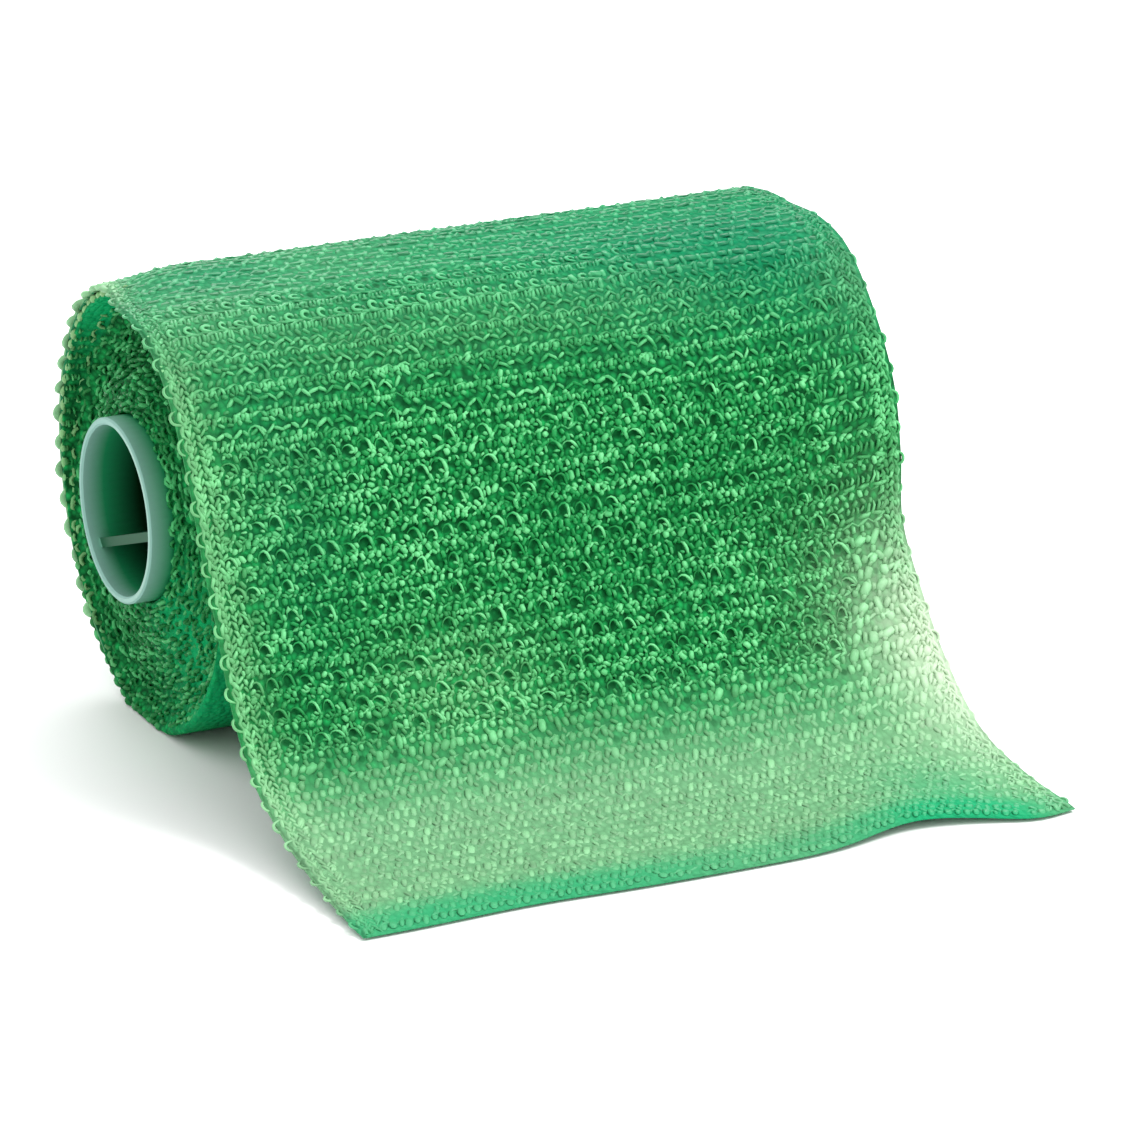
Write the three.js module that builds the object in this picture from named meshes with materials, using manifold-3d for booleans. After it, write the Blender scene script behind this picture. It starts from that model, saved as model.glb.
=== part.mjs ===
// A roll of knitted casting tape on a plastic core, its loose end drawn over the front and laid out flat.
// Lengths are in millimetres. X runs along the roll, the loose end lies towards -Y, and z = 0 is the table.

import * as THREE from "three";
import { mergeVertices } from "three/addons/utils/BufferGeometryUtils.js";
import Module from "manifold-3d";

// The tape
const tapeWidth = 101.6;
const sheetThickness = 1.1;

// The wound form: a leaning oval round the core's axis, a little flattened where it stands
const axisY = 26.1;
const axisZ = 31;
const ovalTallRadius = 31;
const ovalNarrowRadius = 28.5;
const ovalLean = THREE.MathUtils.degToRad(12);
const ovalShiftY = 1.6;
const ovalShiftZ = -0.9;
const boreRadius = 12.95;
const shoulderDrop = 0.8;
const shoulderLength = 3;

// The core: a tube with a flat web across its bore
const coreRadius = 12.6;
const coreWall = 1.0;
const coreRimChamfer = 0.25;
const coreLeftInset = 0.8;
const coreRightInset = 0.6;
const webThickness = 1.3;
const webBelowAxis = 4;
const webTilt = THREE.MathUtils.degToRad(-20);
const webRecess = 1.4;
const webGrip = 0.5;

// The dished end faces, from the bore (share 0) to the rim (share 1), as depths in from the tape's edges
const endFaces = [
  { share: 0.0, leftInset: 3.9, rightInset: 1.6 },
  { share: 0.15, leftInset: 4.4, rightInset: 1.9 },
  { share: 0.45, leftInset: 6.2, rightInset: 2.8 },
  { share: 0.78, leftInset: 7.0, rightInset: 2.9 },
  { share: 0.9, leftInset: 5.7, rightInset: 1.6 },
  { share: 0.97, leftInset: 5.1, rightInset: 1.0 },
];

// The outer turn lies on the wound form from the back to the top, between these angles round the core
const turnStart = THREE.MathUtils.degToRad(-58);
const turnEnd = THREE.MathUtils.degToRad(96);
const turnRise = 1.0;
const tuckDepth = 1.5;
const tuckAngle = THREE.MathUtils.degToRad(75);

// Its edges move out over the end faces as it comes round to the front
const leftDrawnIn = 5.2;
const rightDrawnIn = 1.8;
const edgeMovesFrom = THREE.MathUtils.degToRad(52);
const edgeMovesTo = THREE.MathUtils.degToRad(112);

// The left selvedge curls down over the shoulder, most where it crosses the top
const curlDrop = 1.7;
const curlWidth = 6;
const curlMiddle = THREE.MathUtils.degToRad(82);
const curlSpread = THREE.MathUtils.degToRad(26);

// The free length, down the front and out along the table: the outer face at both edges, from the core's axis
const fallStations = [
  { leftY: -9.6, leftZ: 61.4, rightY: -9.8, rightZ: 61.8 },
  { leftY: -15.6, leftZ: 59.3, rightY: -17.4, rightZ: 59.9 },
  { leftY: -22.4, leftZ: 53.5, rightY: -25.0, rightZ: 53.7 },
  { leftY: -28.5, leftZ: 44.2, rightY: -31.8, rightZ: 44.2 },
  { leftY: -32.9, leftZ: 34.6, rightY: -34.2, rightZ: 34.4 },
  { leftY: -37.3, leftZ: 26.8, rightY: -35.0, rightZ: 25.6 },
  { leftY: -42.0, leftZ: 17.0, rightY: -40.6, rightZ: 17.4 },
  { leftY: -48.3, leftZ: 10.0, rightY: -48.2, rightZ: 9.4 },
  { leftY: -57.6, leftZ: 5.6, rightY: -57.4, rightZ: 3.4 },
  { leftY: -70.0, leftZ: 2.6, rightY: -69.6, rightZ: 1.3 },
  { leftY: -82.4, leftZ: 1.1, rightY: -82.2, rightZ: 1.1 },
];

// The cut end wanders: bumps along its length, as places across the width, reaches and lifts
const cutBumps = [
  { acrossX: 24, spread: 12, pullBack: 0.8, lift: 0 },
  { acrossX: 80, spread: 10, pullBack: 3.0, lift: 0.9 },
  { acrossX: 96, spread: 5, pullBack: -1.4, lift: 0 },
];
const cutWaveLength = 22;

// How finely the forms are divided
const anglesRound = 60;
const turnSteps = 26;
const fallSteps = 46;
const widthSteps = 20;
const coreSides = 64;

const leftEdgeX = -tapeWidth / 2;
const rightEdgeX = tapeWidth / 2;

const wasm = await Module();
wasm.setup();

// A bell of height 1 about a middle
function bell(value, middle, spread) {
  return Math.exp(-(((value - middle) / spread) ** 2));
}

// The oval's point at an angle round the core, pushed out by a distance
function ovalPoint(angle, rise) {
  const turned = angle - (Math.PI / 2 - ovalLean);
  const along = (ovalTallRadius + rise) * Math.cos(turned);
  const across = (ovalNarrowRadius + rise) * Math.sin(turned);
  const leanY = Math.sin(ovalLean);
  const leanZ = Math.cos(ovalLean);
  return new THREE.Vector2(
    ovalShiftY + along * leanY - across * leanZ,
    axisZ + ovalShiftZ + along * leanZ + across * leanY,
  );
}

// A closed solid from rings of points: either a closed ring of rings, or an open row with its two ends capped
function loft(rings, ringOfRings) {
  const ringSize = rings[0].length;
  const positions = rings.flat().flatMap((point) => [point.x, point.y, point.z]);
  const indices = [];
  const steps = ringOfRings ? rings.length : rings.length - 1;
  for (let i = 0; i < steps; i += 1) {
    const here = i * ringSize;
    const next = ((i + 1) % rings.length) * ringSize;
    for (let j = 0; j < ringSize; j += 1) {
      const k = (j + 1) % ringSize;
      indices.push(here + j, next + j, next + k);
      indices.push(here + j, next + k, here + k);
    }
  }
  if (!ringOfRings) {
    const last = (rings.length - 1) * ringSize;
    for (let j = 0; j < ringSize / 2 - 1; j += 1) {
      const opposite = ringSize - 1 - j;
      indices.push(j, j + 1, opposite - 1);
      indices.push(j, opposite - 1, opposite);
      indices.push(last + j, last + opposite, last + opposite - 1);
      indices.push(last + j, last + opposite - 1, last + j + 1);
    }
  }
  const geometry = new THREE.BufferGeometry();
  geometry.setAttribute("position", new THREE.Float32BufferAttribute(positions, 3));
  geometry.setIndex(indices);
  return geometry;
}

function toSolid(geometry) {
  return new wasm.Manifold(
    new wasm.Mesh({
      numProp: 3,
      vertProperties: new Float32Array(geometry.attributes.position.array),
      triVerts: new Uint32Array(geometry.index.array),
    }),
  );
}

function toGeometry(solid) {
  const result = solid.getMesh();
  const geometry = new THREE.BufferGeometry();
  geometry.setAttribute("position", new THREE.BufferAttribute(result.vertProperties, 3));
  geometry.setIndex(new THREE.BufferAttribute(result.triVerts, 1));
  return geometry;
}

// The wound form: the same closed profile, from bore to rim and back, carried round the core
function woundForm() {
  const leftFace = endFaces.map((row) => ({ share: row.share, x: leftEdgeX + row.leftInset }));
  const rightFace = endFaces.map((row) => ({ share: row.share, x: rightEdgeX - row.rightInset }));
  const rimLeft = leftFace.at(-1).x + shoulderDrop;
  const rimRight = rightFace.at(-1).x - shoulderDrop;
  const outside = [
    { x: rimLeft, drop: shoulderDrop / 2 },
    { x: rimLeft + shoulderLength, drop: 0 },
    { x: 0, drop: 0 },
    { x: rimRight - shoulderLength, drop: 0 },
    { x: rimRight, drop: shoulderDrop / 2 },
  ];
  const rings = [];
  for (let i = 0; i < anglesRound; i += 1) {
    const angle = (i / anglesRound) * 2 * Math.PI;
    const bore = new THREE.Vector2(Math.cos(angle), Math.sin(angle)).multiplyScalar(boreRadius);
    bore.y += axisZ;
    const rim = ovalPoint(angle, 0);
    const onFace = ({ share, x }) => {
      const place = bore.clone().lerp(rim, share);
      return new THREE.Vector3(x, axisY + place.x, Math.max(place.y, 0));
    };
    const onOutside = ({ x, drop }) => {
      const place = ovalPoint(angle, -drop);
      return new THREE.Vector3(x, axisY + place.x, Math.max(place.y, 0));
    };
    rings.push([
      ...leftFace.map(onFace),
      ...outside.map(onOutside),
      ...rightFace.toReversed().map(onFace),
    ]);
  }
  return loft(rings, true);
}

// The outer face of the loosened turn at both edges, row by row, with each row's angle round the core
function sheetEdges() {
  const rows = [];
  for (let i = 0; i <= turnSteps; i += 1) {
    const angle = THREE.MathUtils.lerp(turnStart, turnEnd, i / turnSteps);
    const tucked = 1 - THREE.MathUtils.smoothstep(angle, turnStart, turnStart + tuckAngle);
    const place = ovalPoint(angle, turnRise - tuckDepth * tucked);
    rows.push({ angle, left: place, right: place });
  }
  const wound = rows.at(-1);
  const curveOf = (side) => {
    const table = fallStations.map((row) => new THREE.Vector3(0, row[`${side}Y`], row[`${side}Z`]));
    const start = new THREE.Vector3(0, wound[side].x, wound[side].y);
    return new THREE.CatmullRomCurve3([start, ...table], false, "centripetal");
  };
  const leftCurve = curveOf("left");
  const rightCurve = curveOf("right");
  for (let i = 1; i <= fallSteps; i += 1) {
    const left = leftCurve.getPointAt(i / fallSteps);
    const right = rightCurve.getPointAt(i / fallSteps);
    const angle = Math.atan2(left.z - axisZ, left.y);
    rows.push({
      angle: angle < 0 ? angle + 2 * Math.PI : angle,
      left: new THREE.Vector2(left.y, left.z),
      right: new THREE.Vector2(right.y, right.z),
    });
  }
  return rows;
}

// The cut end's pull back and lift at a place across the width
function cutEnd(x) {
  const across = x - leftEdgeX;
  return cutBumps.reduce(
    (sum, bump) => ({
      pullBack: sum.pullBack + bump.pullBack * bell(across, bump.acrossX, bump.spread),
      lift: sum.lift + bump.lift * bell(across, bump.acrossX, bump.spread),
    }),
    { pullBack: 0, lift: 0 },
  );
}

// The loosened turn and the loose end: one sheet across the tape's width
function looseSheet() {
  const rows = sheetEdges();
  const outer = rows.map((row) => {
    const moved = THREE.MathUtils.smoothstep(row.angle, edgeMovesFrom, edgeMovesTo);
    const startX = leftEdgeX + leftDrawnIn * (1 - moved);
    const endX = rightEdgeX - rightDrawnIn * (1 - moved);
    const curl = curlDrop * bell(row.angle, curlMiddle, curlSpread);
    const line = [];
    for (let j = 0; j <= widthSteps; j += 1) {
      const share = j / widthSteps;
      const x = THREE.MathUtils.lerp(startX, endX, 0.5 - 0.5 * Math.cos(Math.PI * share));
      const across = (x - leftEdgeX) / tapeWidth;
      const place = row.left.clone().lerp(row.right, across);
      const inward = new THREE.Vector2(-place.x, axisZ - place.y).normalize();
      place.addScaledVector(inward, curl * bell(x, startX, curlWidth));
      const end = cutEnd(x);
      const nearCut = bell(place.x, fallStations.at(-1).leftY, cutWaveLength);
      const onTable = row.angle > Math.PI ? nearCut : 0;
      line.push(new THREE.Vector3(x, place.x + end.pullBack * onTable, place.y + end.lift * onTable));
    }
    return line;
  });
  const rings = outer.map((line, i) => {
    const before = outer[Math.max(i - 1, 0)];
    const after = outer[Math.min(i + 1, outer.length - 1)];
    const inner = line.map((point, j) => {
      const along = after[j].clone().sub(before[j]);
      const inward = new THREE.Vector3(0, -along.z, along.y).normalize();
      return point.clone().addScaledVector(inward, sheetThickness);
    });
    return [...line, ...inner.toReversed()].map(
      (point) => new THREE.Vector3(point.x, axisY + point.y, Math.max(point.z, 0)),
    );
  });
  return loft(rings, false);
}

function tapeGeometry() {
  return toGeometry(toSolid(woundForm()).add(toSolid(looseSheet())));
}

// The core's wall, turned about the X axis
function coreTube() {
  const inner = coreRadius - coreWall;
  const left = leftEdgeX + coreLeftInset;
  const right = rightEdgeX - coreRightInset;
  const profile = [
    [coreRadius - coreRimChamfer, left],
    [coreRadius, left + coreRimChamfer],
    [coreRadius, right - coreRimChamfer],
    [coreRadius - coreRimChamfer, right],
    [inner + coreRimChamfer, right],
    [inner, right - coreRimChamfer],
    [inner, left + coreRimChamfer],
    [inner + coreRimChamfer, left],
  ];
  const rings = [];
  for (let i = 0; i < coreSides; i += 1) {
    const angle = (i / coreSides) * 2 * Math.PI;
    rings.push(
      profile.map(([r, x]) => new THREE.Vector3(x, axisY + r * Math.cos(angle), axisZ + r * Math.sin(angle))),
    );
  }
  return loft(rings, true);
}

// The web: a flat plate on a chord below the axis, its ends let into the wall
function coreWeb() {
  const inner = coreRadius - coreWall;
  const chord = 2 * Math.sqrt(inner ** 2 - webBelowAxis ** 2);
  const length = tapeWidth - coreLeftInset - coreRightInset - 2 * webRecess;
  const plate = new THREE.BoxGeometry(length, chord + 2 * webGrip, webThickness);
  const middleX = (coreLeftInset - coreRightInset) / 2;
  plate.translate(0, 0, -webBelowAxis);
  plate.rotateX(webTilt);
  plate.translate(middleX, axisY, axisZ);
  plate.deleteAttribute("normal");
  plate.deleteAttribute("uv");
  return mergeVertices(plate);
}

function coreGeometry() {
  return toGeometry(toSolid(coreTube()).add(toSolid(coreWeb())));
}

const tapeMaterial = new THREE.MeshStandardMaterial({
  color: new THREE.Color(0.16, 0.58, 0.33),
  roughness: 0.45,
  metalness: 0,
  flatShading: true,
});

const coreMaterial = new THREE.MeshStandardMaterial({
  color: new THREE.Color(0.44, 0.6, 0.55),
  roughness: 0.4,
  metalness: 0,
  flatShading: true,
});

function namedMesh(name, geometry, material) {
  const mesh = new THREE.Mesh(geometry, material);
  mesh.name = name;
  return mesh;
}

const castingTapeRoll = new THREE.Group();
castingTapeRoll.add(namedMesh("tape", tapeGeometry(), tapeMaterial));
castingTapeRoll.add(namedMesh("core", coreGeometry(), coreMaterial));

export default castingTapeRoll;
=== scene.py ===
# The looks of a roll of knitted casting tape: yarn loops, selvedges, wound turns and a frosted core.
# Sizes here are in millimetres and are turned into metres where a mesh is made.
import math

import bpy
import numpy as np
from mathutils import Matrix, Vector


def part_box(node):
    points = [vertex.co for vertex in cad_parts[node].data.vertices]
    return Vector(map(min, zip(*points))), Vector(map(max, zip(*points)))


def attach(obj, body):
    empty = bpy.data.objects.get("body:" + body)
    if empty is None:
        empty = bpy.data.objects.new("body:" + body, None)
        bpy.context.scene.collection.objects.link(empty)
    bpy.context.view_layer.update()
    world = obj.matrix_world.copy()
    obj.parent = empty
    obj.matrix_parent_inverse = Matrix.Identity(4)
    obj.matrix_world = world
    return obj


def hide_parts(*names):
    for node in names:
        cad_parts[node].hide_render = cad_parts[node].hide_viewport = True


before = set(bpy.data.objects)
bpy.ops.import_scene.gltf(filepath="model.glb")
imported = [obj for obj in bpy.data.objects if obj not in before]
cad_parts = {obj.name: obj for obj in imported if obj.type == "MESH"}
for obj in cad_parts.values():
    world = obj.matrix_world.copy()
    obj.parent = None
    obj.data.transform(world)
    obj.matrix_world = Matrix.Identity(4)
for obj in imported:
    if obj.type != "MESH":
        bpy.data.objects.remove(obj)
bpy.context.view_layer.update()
print("frame loaded:", sorted(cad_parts))

mm = 0.001
tapeLow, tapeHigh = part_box("tape")
coreLow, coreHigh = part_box("core")
leftEdge = tapeLow.x / mm
rightEdge = tapeHigh.x / mm
tapeWidth = rightEdge - leftEdge
axisY = (coreLow.y + coreHigh.y) / 2 / mm
axisZ = (coreLow.z + coreHigh.z) / 2 / mm
coreRadius = (coreHigh.z - coreLow.z) / 2 / mm

# The wound form: a leaning oval round the core, with dished ends
windForm = {
    "tallRadius": 31.0,
    "narrowRadius": 28.5,
    "lean": math.radians(12),
    "shiftY": 1.6,
    "shiftZ": -0.9,
    "boreRadius": 12.85,
    "shares": (0.0, 0.15, 0.45, 0.78, 0.9, 0.97, 1.0),
    "leftInset": (3.9, 4.4, 6.2, 7.0, 5.7, 5.1, 5.5),
    "rightInset": (1.6, 1.9, 2.8, 2.9, 1.6, 1.0, 1.4),
    "turns": 16,
}

# The loosened outer turn, the way it falls over the front, and its cut end
looseForm = {
    "turnStart": math.radians(-58),
    "turnEnd": math.radians(96),
    "rise": 1.0,
    "tuckDepth": 1.5,
    "tuckAngle": math.radians(75),
    "leftDrawnIn": 5.2,
    "rightDrawnIn": 1.8,
    "edgeMovesFrom": math.radians(52),
    "edgeMovesTo": math.radians(112),
    "curlDrop": 1.7,
    "curlWidth": 6.0,
    "curlMiddle": math.radians(82),
    "curlSpread": math.radians(26),
    "pointsWound": 200,
    "pointsFalling": 600,
    # outer face at both edges, from the core's axis: left y, left z, right y, right z
    "fall": (
        (-9.6, 61.4, -9.8, 61.8),
        (-15.6, 59.3, -17.4, 59.9),
        (-22.4, 53.5, -25.0, 53.7),
        (-28.5, 44.2, -31.8, 44.2),
        (-32.9, 34.6, -34.2, 34.4),
        (-37.3, 26.8, -35.0, 25.6),
        (-42.0, 17.0, -40.6, 17.4),
        (-48.3, 10.0, -48.2, 9.4),
        (-57.6, 5.6, -57.4, 3.4),
        (-70.0, 2.6, -69.6, 1.3),
        (-82.4, 1.1, -82.2, 1.1),
    ),
    # bumps of the cut end: place across, spread, pull back, lift
    "cutBumps": ((24, 12, 0.8, 0.0), (80, 10, 3.0, 0.9), (96, 5, -1.4, 0.0)),
    "cutWaveLength": 22.0,
}

# One knit cell is a loop and its two legs
knit = {
    "walePitch": 2.35,
    "coursePitch": 4.1,
    "edgeMargin": 2.3,
    "firstCourse": 4.9,
    "lastMargin": 0.9,
    "clothDepth": 0.46,
    "clothThickness": 0.4,
}
clothInside = knit["clothDepth"] + knit["clothThickness"]


def ease(value, low, high):
    share = np.clip((value - low) / (high - low), 0, 1)
    return share * share * (3 - 2 * share)


def bell(value, middle, spread):
    return np.exp(-(((value - middle) / spread) ** 2))


def unit(vectors):
    return vectors / np.maximum(np.linalg.norm(vectors, axis=-1, keepdims=True), 1e-9)


def ovalPoint(angle, rise):
    turned = angle - (math.pi / 2 - windForm["lean"])
    along = (windForm["tallRadius"] + rise) * np.cos(turned)
    across = (windForm["narrowRadius"] + rise) * np.sin(turned)
    leanY, leanZ = math.sin(windForm["lean"]), math.cos(windForm["lean"])
    y = windForm["shiftY"] + along * leanY - across * leanZ
    z = axisZ + windForm["shiftZ"] + along * leanZ + across * leanY
    return np.stack([y, z], axis=-1)


def smoothCurve(points, perSpan=40):
    # a centripetal Catmull-Rom curve through the points
    points = np.array(points, float)
    padded = np.vstack([2 * points[0] - points[1], points, 2 * points[-1] - points[-2]])
    share = (np.arange(perSpan) / perSpan)[:, None]
    spans = []
    for p0, p1, p2, p3 in zip(padded, padded[1:], padded[2:], padded[3:]):
        gap0, gap1, gap2 = (np.linalg.norm(b - a) ** 0.5 for a, b in ((p0, p1), (p1, p2), (p2, p3)))
        slope1 = ((p1 - p0) / gap0 - (p2 - p0) / (gap0 + gap1) + (p2 - p1) / gap1) * gap1
        slope2 = ((p2 - p1) / gap1 - (p3 - p1) / (gap1 + gap2) + (p3 - p2) / gap2) * gap1
        cubic = 2 * p1 - 2 * p2 + slope1 + slope2
        square = -3 * p1 + 3 * p2 - 2 * slope1 - slope2
        spans.append(cubic * share**3 + square * share**2 + slope1 * share + p1)
    return np.vstack(spans + [points[-1:]])


def lengthsAlong(points):
    return np.concatenate([[0], np.cumsum(np.linalg.norm(np.diff(points, axis=0), axis=1))])


def evenly(points, count):
    lengths = lengthsAlong(points)
    places = np.linspace(0, lengths[-1], count)
    return np.stack([np.interp(places, lengths, column) for column in points.T], axis=-1)


def makeLooseLine():
    # the loose turn's two edges from the tucked start to the cut end, by length along the tape
    start, end = looseForm["turnStart"], looseForm["turnEnd"]
    angles = np.linspace(start, end, looseForm["pointsWound"])
    tucked = 1 - ease(angles, start, start + looseForm["tuckAngle"])
    wound = ovalPoint(angles, looseForm["rise"] - looseForm["tuckDepth"] * tucked)
    edges = []
    for points in np.split(np.array(looseForm["fall"]), 2, axis=1):
        falling = smoothCurve(np.vstack([wound[-1], points]))
        edges.append(np.vstack([wound, evenly(falling, looseForm["pointsFalling"])[1:]]))
    left, right = edges
    middle = (left + right) / 2
    angle = np.unwrap(np.arctan2(middle[:, 1] - axisZ, middle[:, 0]))
    return {"length": lengthsAlong(middle), "angle": angle, "left": left, "right": right}


looseLine = makeLooseLine()
looseLength = float(looseLine["length"][-1])
print(f"loose length {looseLength:.1f} mm of {tapeWidth:.1f} mm tape")


def loosePlace(along, share):
    # outer face of the loose turn at a length along the tape and a share of its width
    lengths = looseLine["length"]
    angle = np.interp(along, lengths, looseLine["angle"])
    drawnIn = 1 - ease(angle, looseForm["edgeMovesFrom"], looseForm["edgeMovesTo"])
    startX = leftEdge + looseForm["leftDrawnIn"] * drawnIn
    endX = rightEdge - looseForm["rightDrawnIn"] * drawnIn
    x = startX + (endX - startX) * share
    across = (x - leftEdge) / tapeWidth
    leftY, leftZ = (np.interp(along, lengths, column) for column in looseLine["left"].T)
    rightY, rightZ = (np.interp(along, lengths, column) for column in looseLine["right"].T)
    y = leftY + (rightY - leftY) * across
    z = leftZ + (rightZ - leftZ) * across
    curl = looseForm["curlDrop"] * bell(angle, looseForm["curlMiddle"], looseForm["curlSpread"])
    curl = curl * bell(x, startX, looseForm["curlWidth"])
    reach = np.hypot(y, z - axisZ)
    y, z = y - y / reach * curl, z - (z - axisZ) / reach * curl
    nearCut = bell(y, looseForm["fall"][-1][0], looseForm["cutWaveLength"]) * (angle > math.pi)
    for place, spread, pullBack, lift in looseForm["cutBumps"]:
        bump = bell(x - leftEdge, place, spread) * nearCut
        y = y + pullBack * bump
        z = z + lift * bump
    return np.stack([x, axisY + y, z], axis=-1)


def looseFrame(along, share, depth=0.0):
    # place under the outer face, with the directions along the tape, across it and out of it
    along, share = np.broadcast_arrays(np.asarray(along, float), np.asarray(share, float))
    step, shareStep = 0.5, 0.006
    inner = np.clip(along, step, looseLength - step)
    alongAxis = unit(loosePlace(inner + step, share) - loosePlace(inner - step, share))
    acrossAxis = unit(loosePlace(along, share + shareStep) - loosePlace(along, share - shareStep))
    outAxis = unit(np.cross(alongAxis, acrossAxis))
    place = loosePlace(along, share) - outAxis * depth
    return place, alongAxis, acrossAxis, outAxis


# How the painted light and shade and the relief of the knit change over the loose length: a pale painted
# light, a deep saturated green painted for shade and for light seen through the cloth, and a painted
# glow where light comes from behind.
# Each spot has its strength, its place and spread along the tape, and its place and spread across.
tintSpots = {
    "pale": ((0.4, 150, 7, 32, 12), (0.25, 97, 9, 8, 14), (0.12, 118, 12, 12, 8)),
    "shadeAndLightThrough": ((0.5, 80, 6, 14, 9), (0.2, 122, 22, 13, 8)),
    "nearRight": ((1.0, 107, 12, 101, 9),),
}


footReach = (150, 172)  # where the falling cloth turns out onto the table, along the tape


def spotsOf(kind, along, x):
    spots = [
        strength * bell(along, place, spread) * bell(x, across, width)
        for strength, place, spread, across, width in tintSpots[kind]
    ]
    return sum(spots)


def clothTint(along, share):
    # each zone has its strength and its reach in millimetres, along the tape and across it
    x = share * tapeWidth
    foot = ease(along, *footReach)
    top = 1 - ease(along, 84, 118)
    # painted light: paler along the left edge and over the top left, where the cloth is seen at a
    # grazing angle
    lowLeftEdge = 0.5 * bell(x, 0, 5) * ease(along, 92, 110)
    highLeftEdge = 0.9 * bell(x, 0, 2) * (1 - ease(along, 70, 90))
    highLeft = 0.14 * (1 - ease(along, 78, 104)) * (1 - ease(x, 26, 56))
    paleBand = 0.16 * bell(along, 102, 6) * (1 - bell(x, 88, 8)) * ease(x, 10, 30)
    # painted shade: a deeper, saturated green on the right of the rounded top
    shoulder = 0.85 * bell(along, 92, 13) * ease(x, 44, 88) * (1 - 0.5 * bell(x, 101, 5))
    cutFringe = 0.75 * ease(along, 185, 191) * (1 - 0.5 * bell(x, 58, 14)) * (1 - 0.7 * bell(x, 101, 6))
    footCorner = 0.6 * ease(along, 168, 188) * bell(x, 89, 9)
    # painted glow near the right of the foot, for light shining through the cloth from behind
    glow = bell(along, 157, 18) * bell(x, 106, 15.5 - 4 * foot)
    nearRight = spotsOf("nearRight", along, x)
    # painted light: the foot is pale where it lies lit from above
    pale = 0.9 * foot + lowLeftEdge + highLeftEdge + highLeft + paleBand + spotsOf("pale", along, x)
    pale = (pale + 0.5 * glow**0.6) * (1 - 0.25 * ease(along, 185, 192))
    layers = {
        "pale": pale + 0.12 * nearRight,
        "shadeAndLightThrough": shoulder + spotsOf("shadeAndLightThrough", along, x),
        "jade": cutFringe + footCorner,
        "backLit": 1.3 * glow**1.4,
        "haze": 0.95 * foot + 0.9 * top + 0.4 * nearRight,
    }
    layers = {key: np.clip(values, 0, 1) for key, values in layers.items()}
    layers["relief"] = np.clip(1 - 0.7 * foot - 0.45 * top, 0.3, 1)
    return layers


# Mesh helpers
def linked(name, data):
    thing = bpy.data.objects.new(name, data)
    bpy.context.scene.collection.objects.link(thing)
    return thing


def makeObject(name, places, faces, edges=(), attributes=None, vectors=None):
    mesh = bpy.data.meshes.new(name)
    mesh.from_pydata((np.asarray(places, float).reshape(-1, 3) * mm).tolist(), list(edges), faces)
    for kind, field, layers in (("FLOAT", "value", attributes), ("FLOAT_VECTOR", "vector", vectors)):
        for key, values in (layers or {}).items():
            layer = mesh.attributes.new(key, kind, "POINT")
            layer.data.foreach_set(field, np.ascontiguousarray(values, np.float32).ravel())
    mesh.validate()
    return linked(name, mesh)


def gridFaces(rows, columns, start=0, closeRows=False, flip=False):
    firstRows = np.arange(rows if closeRows else rows - 1)
    i, j = np.meshgrid(firstRows, np.arange(columns - 1), indexing="ij")
    below = (i + 1) % rows
    corners = [i * columns + j, below * columns + j, below * columns + j + 1, i * columns + j + 1]
    faces = np.stack(corners, axis=-1).reshape(-1, 4) + start
    return (faces[:, ::-1] if flip else faces).tolist()


def dress(piece, *materials):
    piece.data.materials.clear()
    for material in materials:
        piece.data.materials.append(material)


def countTriangles(piece):
    count = sum(len(face.vertices) - 2 for face in piece.data.polygons)
    print(f"{piece.name}: {count} triangles")


def finishCloth(piece, *materials):
    dress(piece, *materials)
    piece.data.polygons.foreach_set("use_smooth", [True] * len(piece.data.polygons))
    piece.data.update()
    countTriangles(piece)


# Node helpers
def addNode(tree, kind, inputs=None, output=0, **settings):
    # makes a node with its inputs linked or set, and gives back one of its outputs
    node = tree.nodes.new(kind)
    for key, value in settings.items():
        setattr(node, key, value)
    for key, value in (inputs or {}).items():
        if isinstance(value, bpy.types.NodeSocket):
            tree.links.new(value, node.inputs[key])
        else:
            node.inputs[key].default_value = value
    return node.outputs[output]


def addMath(tree, operation, first, second=0.0, clamp=False):
    return addNode(tree, "ShaderNodeMath", {0: first, 1: second}, operation=operation, use_clamp=clamp)


def plus(tree, first, second):
    return addMath(tree, "ADD", first, second)


def minus(tree, first, second, clamp=False):
    return addMath(tree, "SUBTRACT", first, second, clamp)


def times(tree, first, second, clamp=False):
    return addMath(tree, "MULTIPLY", first, second, clamp)


def vectorMath(tree, operation, first, second=(0, 0, 0), output=0):
    return addNode(tree, "ShaderNodeVectorMath", {0: first, 1: second}, output, operation=operation)


def scaled(tree, vector, scale):
    return addNode(tree, "ShaderNodeVectorMath", {0: vector, "Scale": scale}, operation="SCALE")


def named(tree, name, kind="FLOAT"):
    return addNode(tree, "GeometryNodeInputNamedAttribute", {"Name": name}, data_type=kind)


def randomVector(tree, spread, seed):
    inputs = {0: scaled(tree, spread, -1.0), 1: spread, "Seed": seed}
    return addNode(tree, "FunctionNodeRandomValue", inputs, data_type="FLOAT_VECTOR")


def randomTone(tree, seed):
    # a tone of its own for each yarn or place, from 0 to 1
    inputs = {"Seed": plus(tree, seed, 3.0)}
    return addNode(tree, "FunctionNodeRandomValue", inputs, 1, data_type="FLOAT")


def storeFloat(tree, geometry, name, value, domain="POINT"):
    inputs = {"Geometry": geometry, "Name": name, "Value": value}
    return addNode(tree, "GeometryNodeStoreNamedAttribute", inputs, data_type="FLOAT", domain=domain)


def newTree(name, sockets):
    tree = bpy.data.node_groups.new(name, "GeometryNodeTree")
    tree.interface.new_socket("Geometry", in_out="OUTPUT", socket_type="NodeSocketGeometry")
    tree.interface.new_socket("Geometry", in_out="INPUT", socket_type="NodeSocketGeometry")
    for socket, kind in sockets.items():
        tree.interface.new_socket(socket, in_out="INPUT", socket_type="NodeSocket" + kind)
    return tree, tree.nodes.new("NodeGroupInput").outputs


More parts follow.
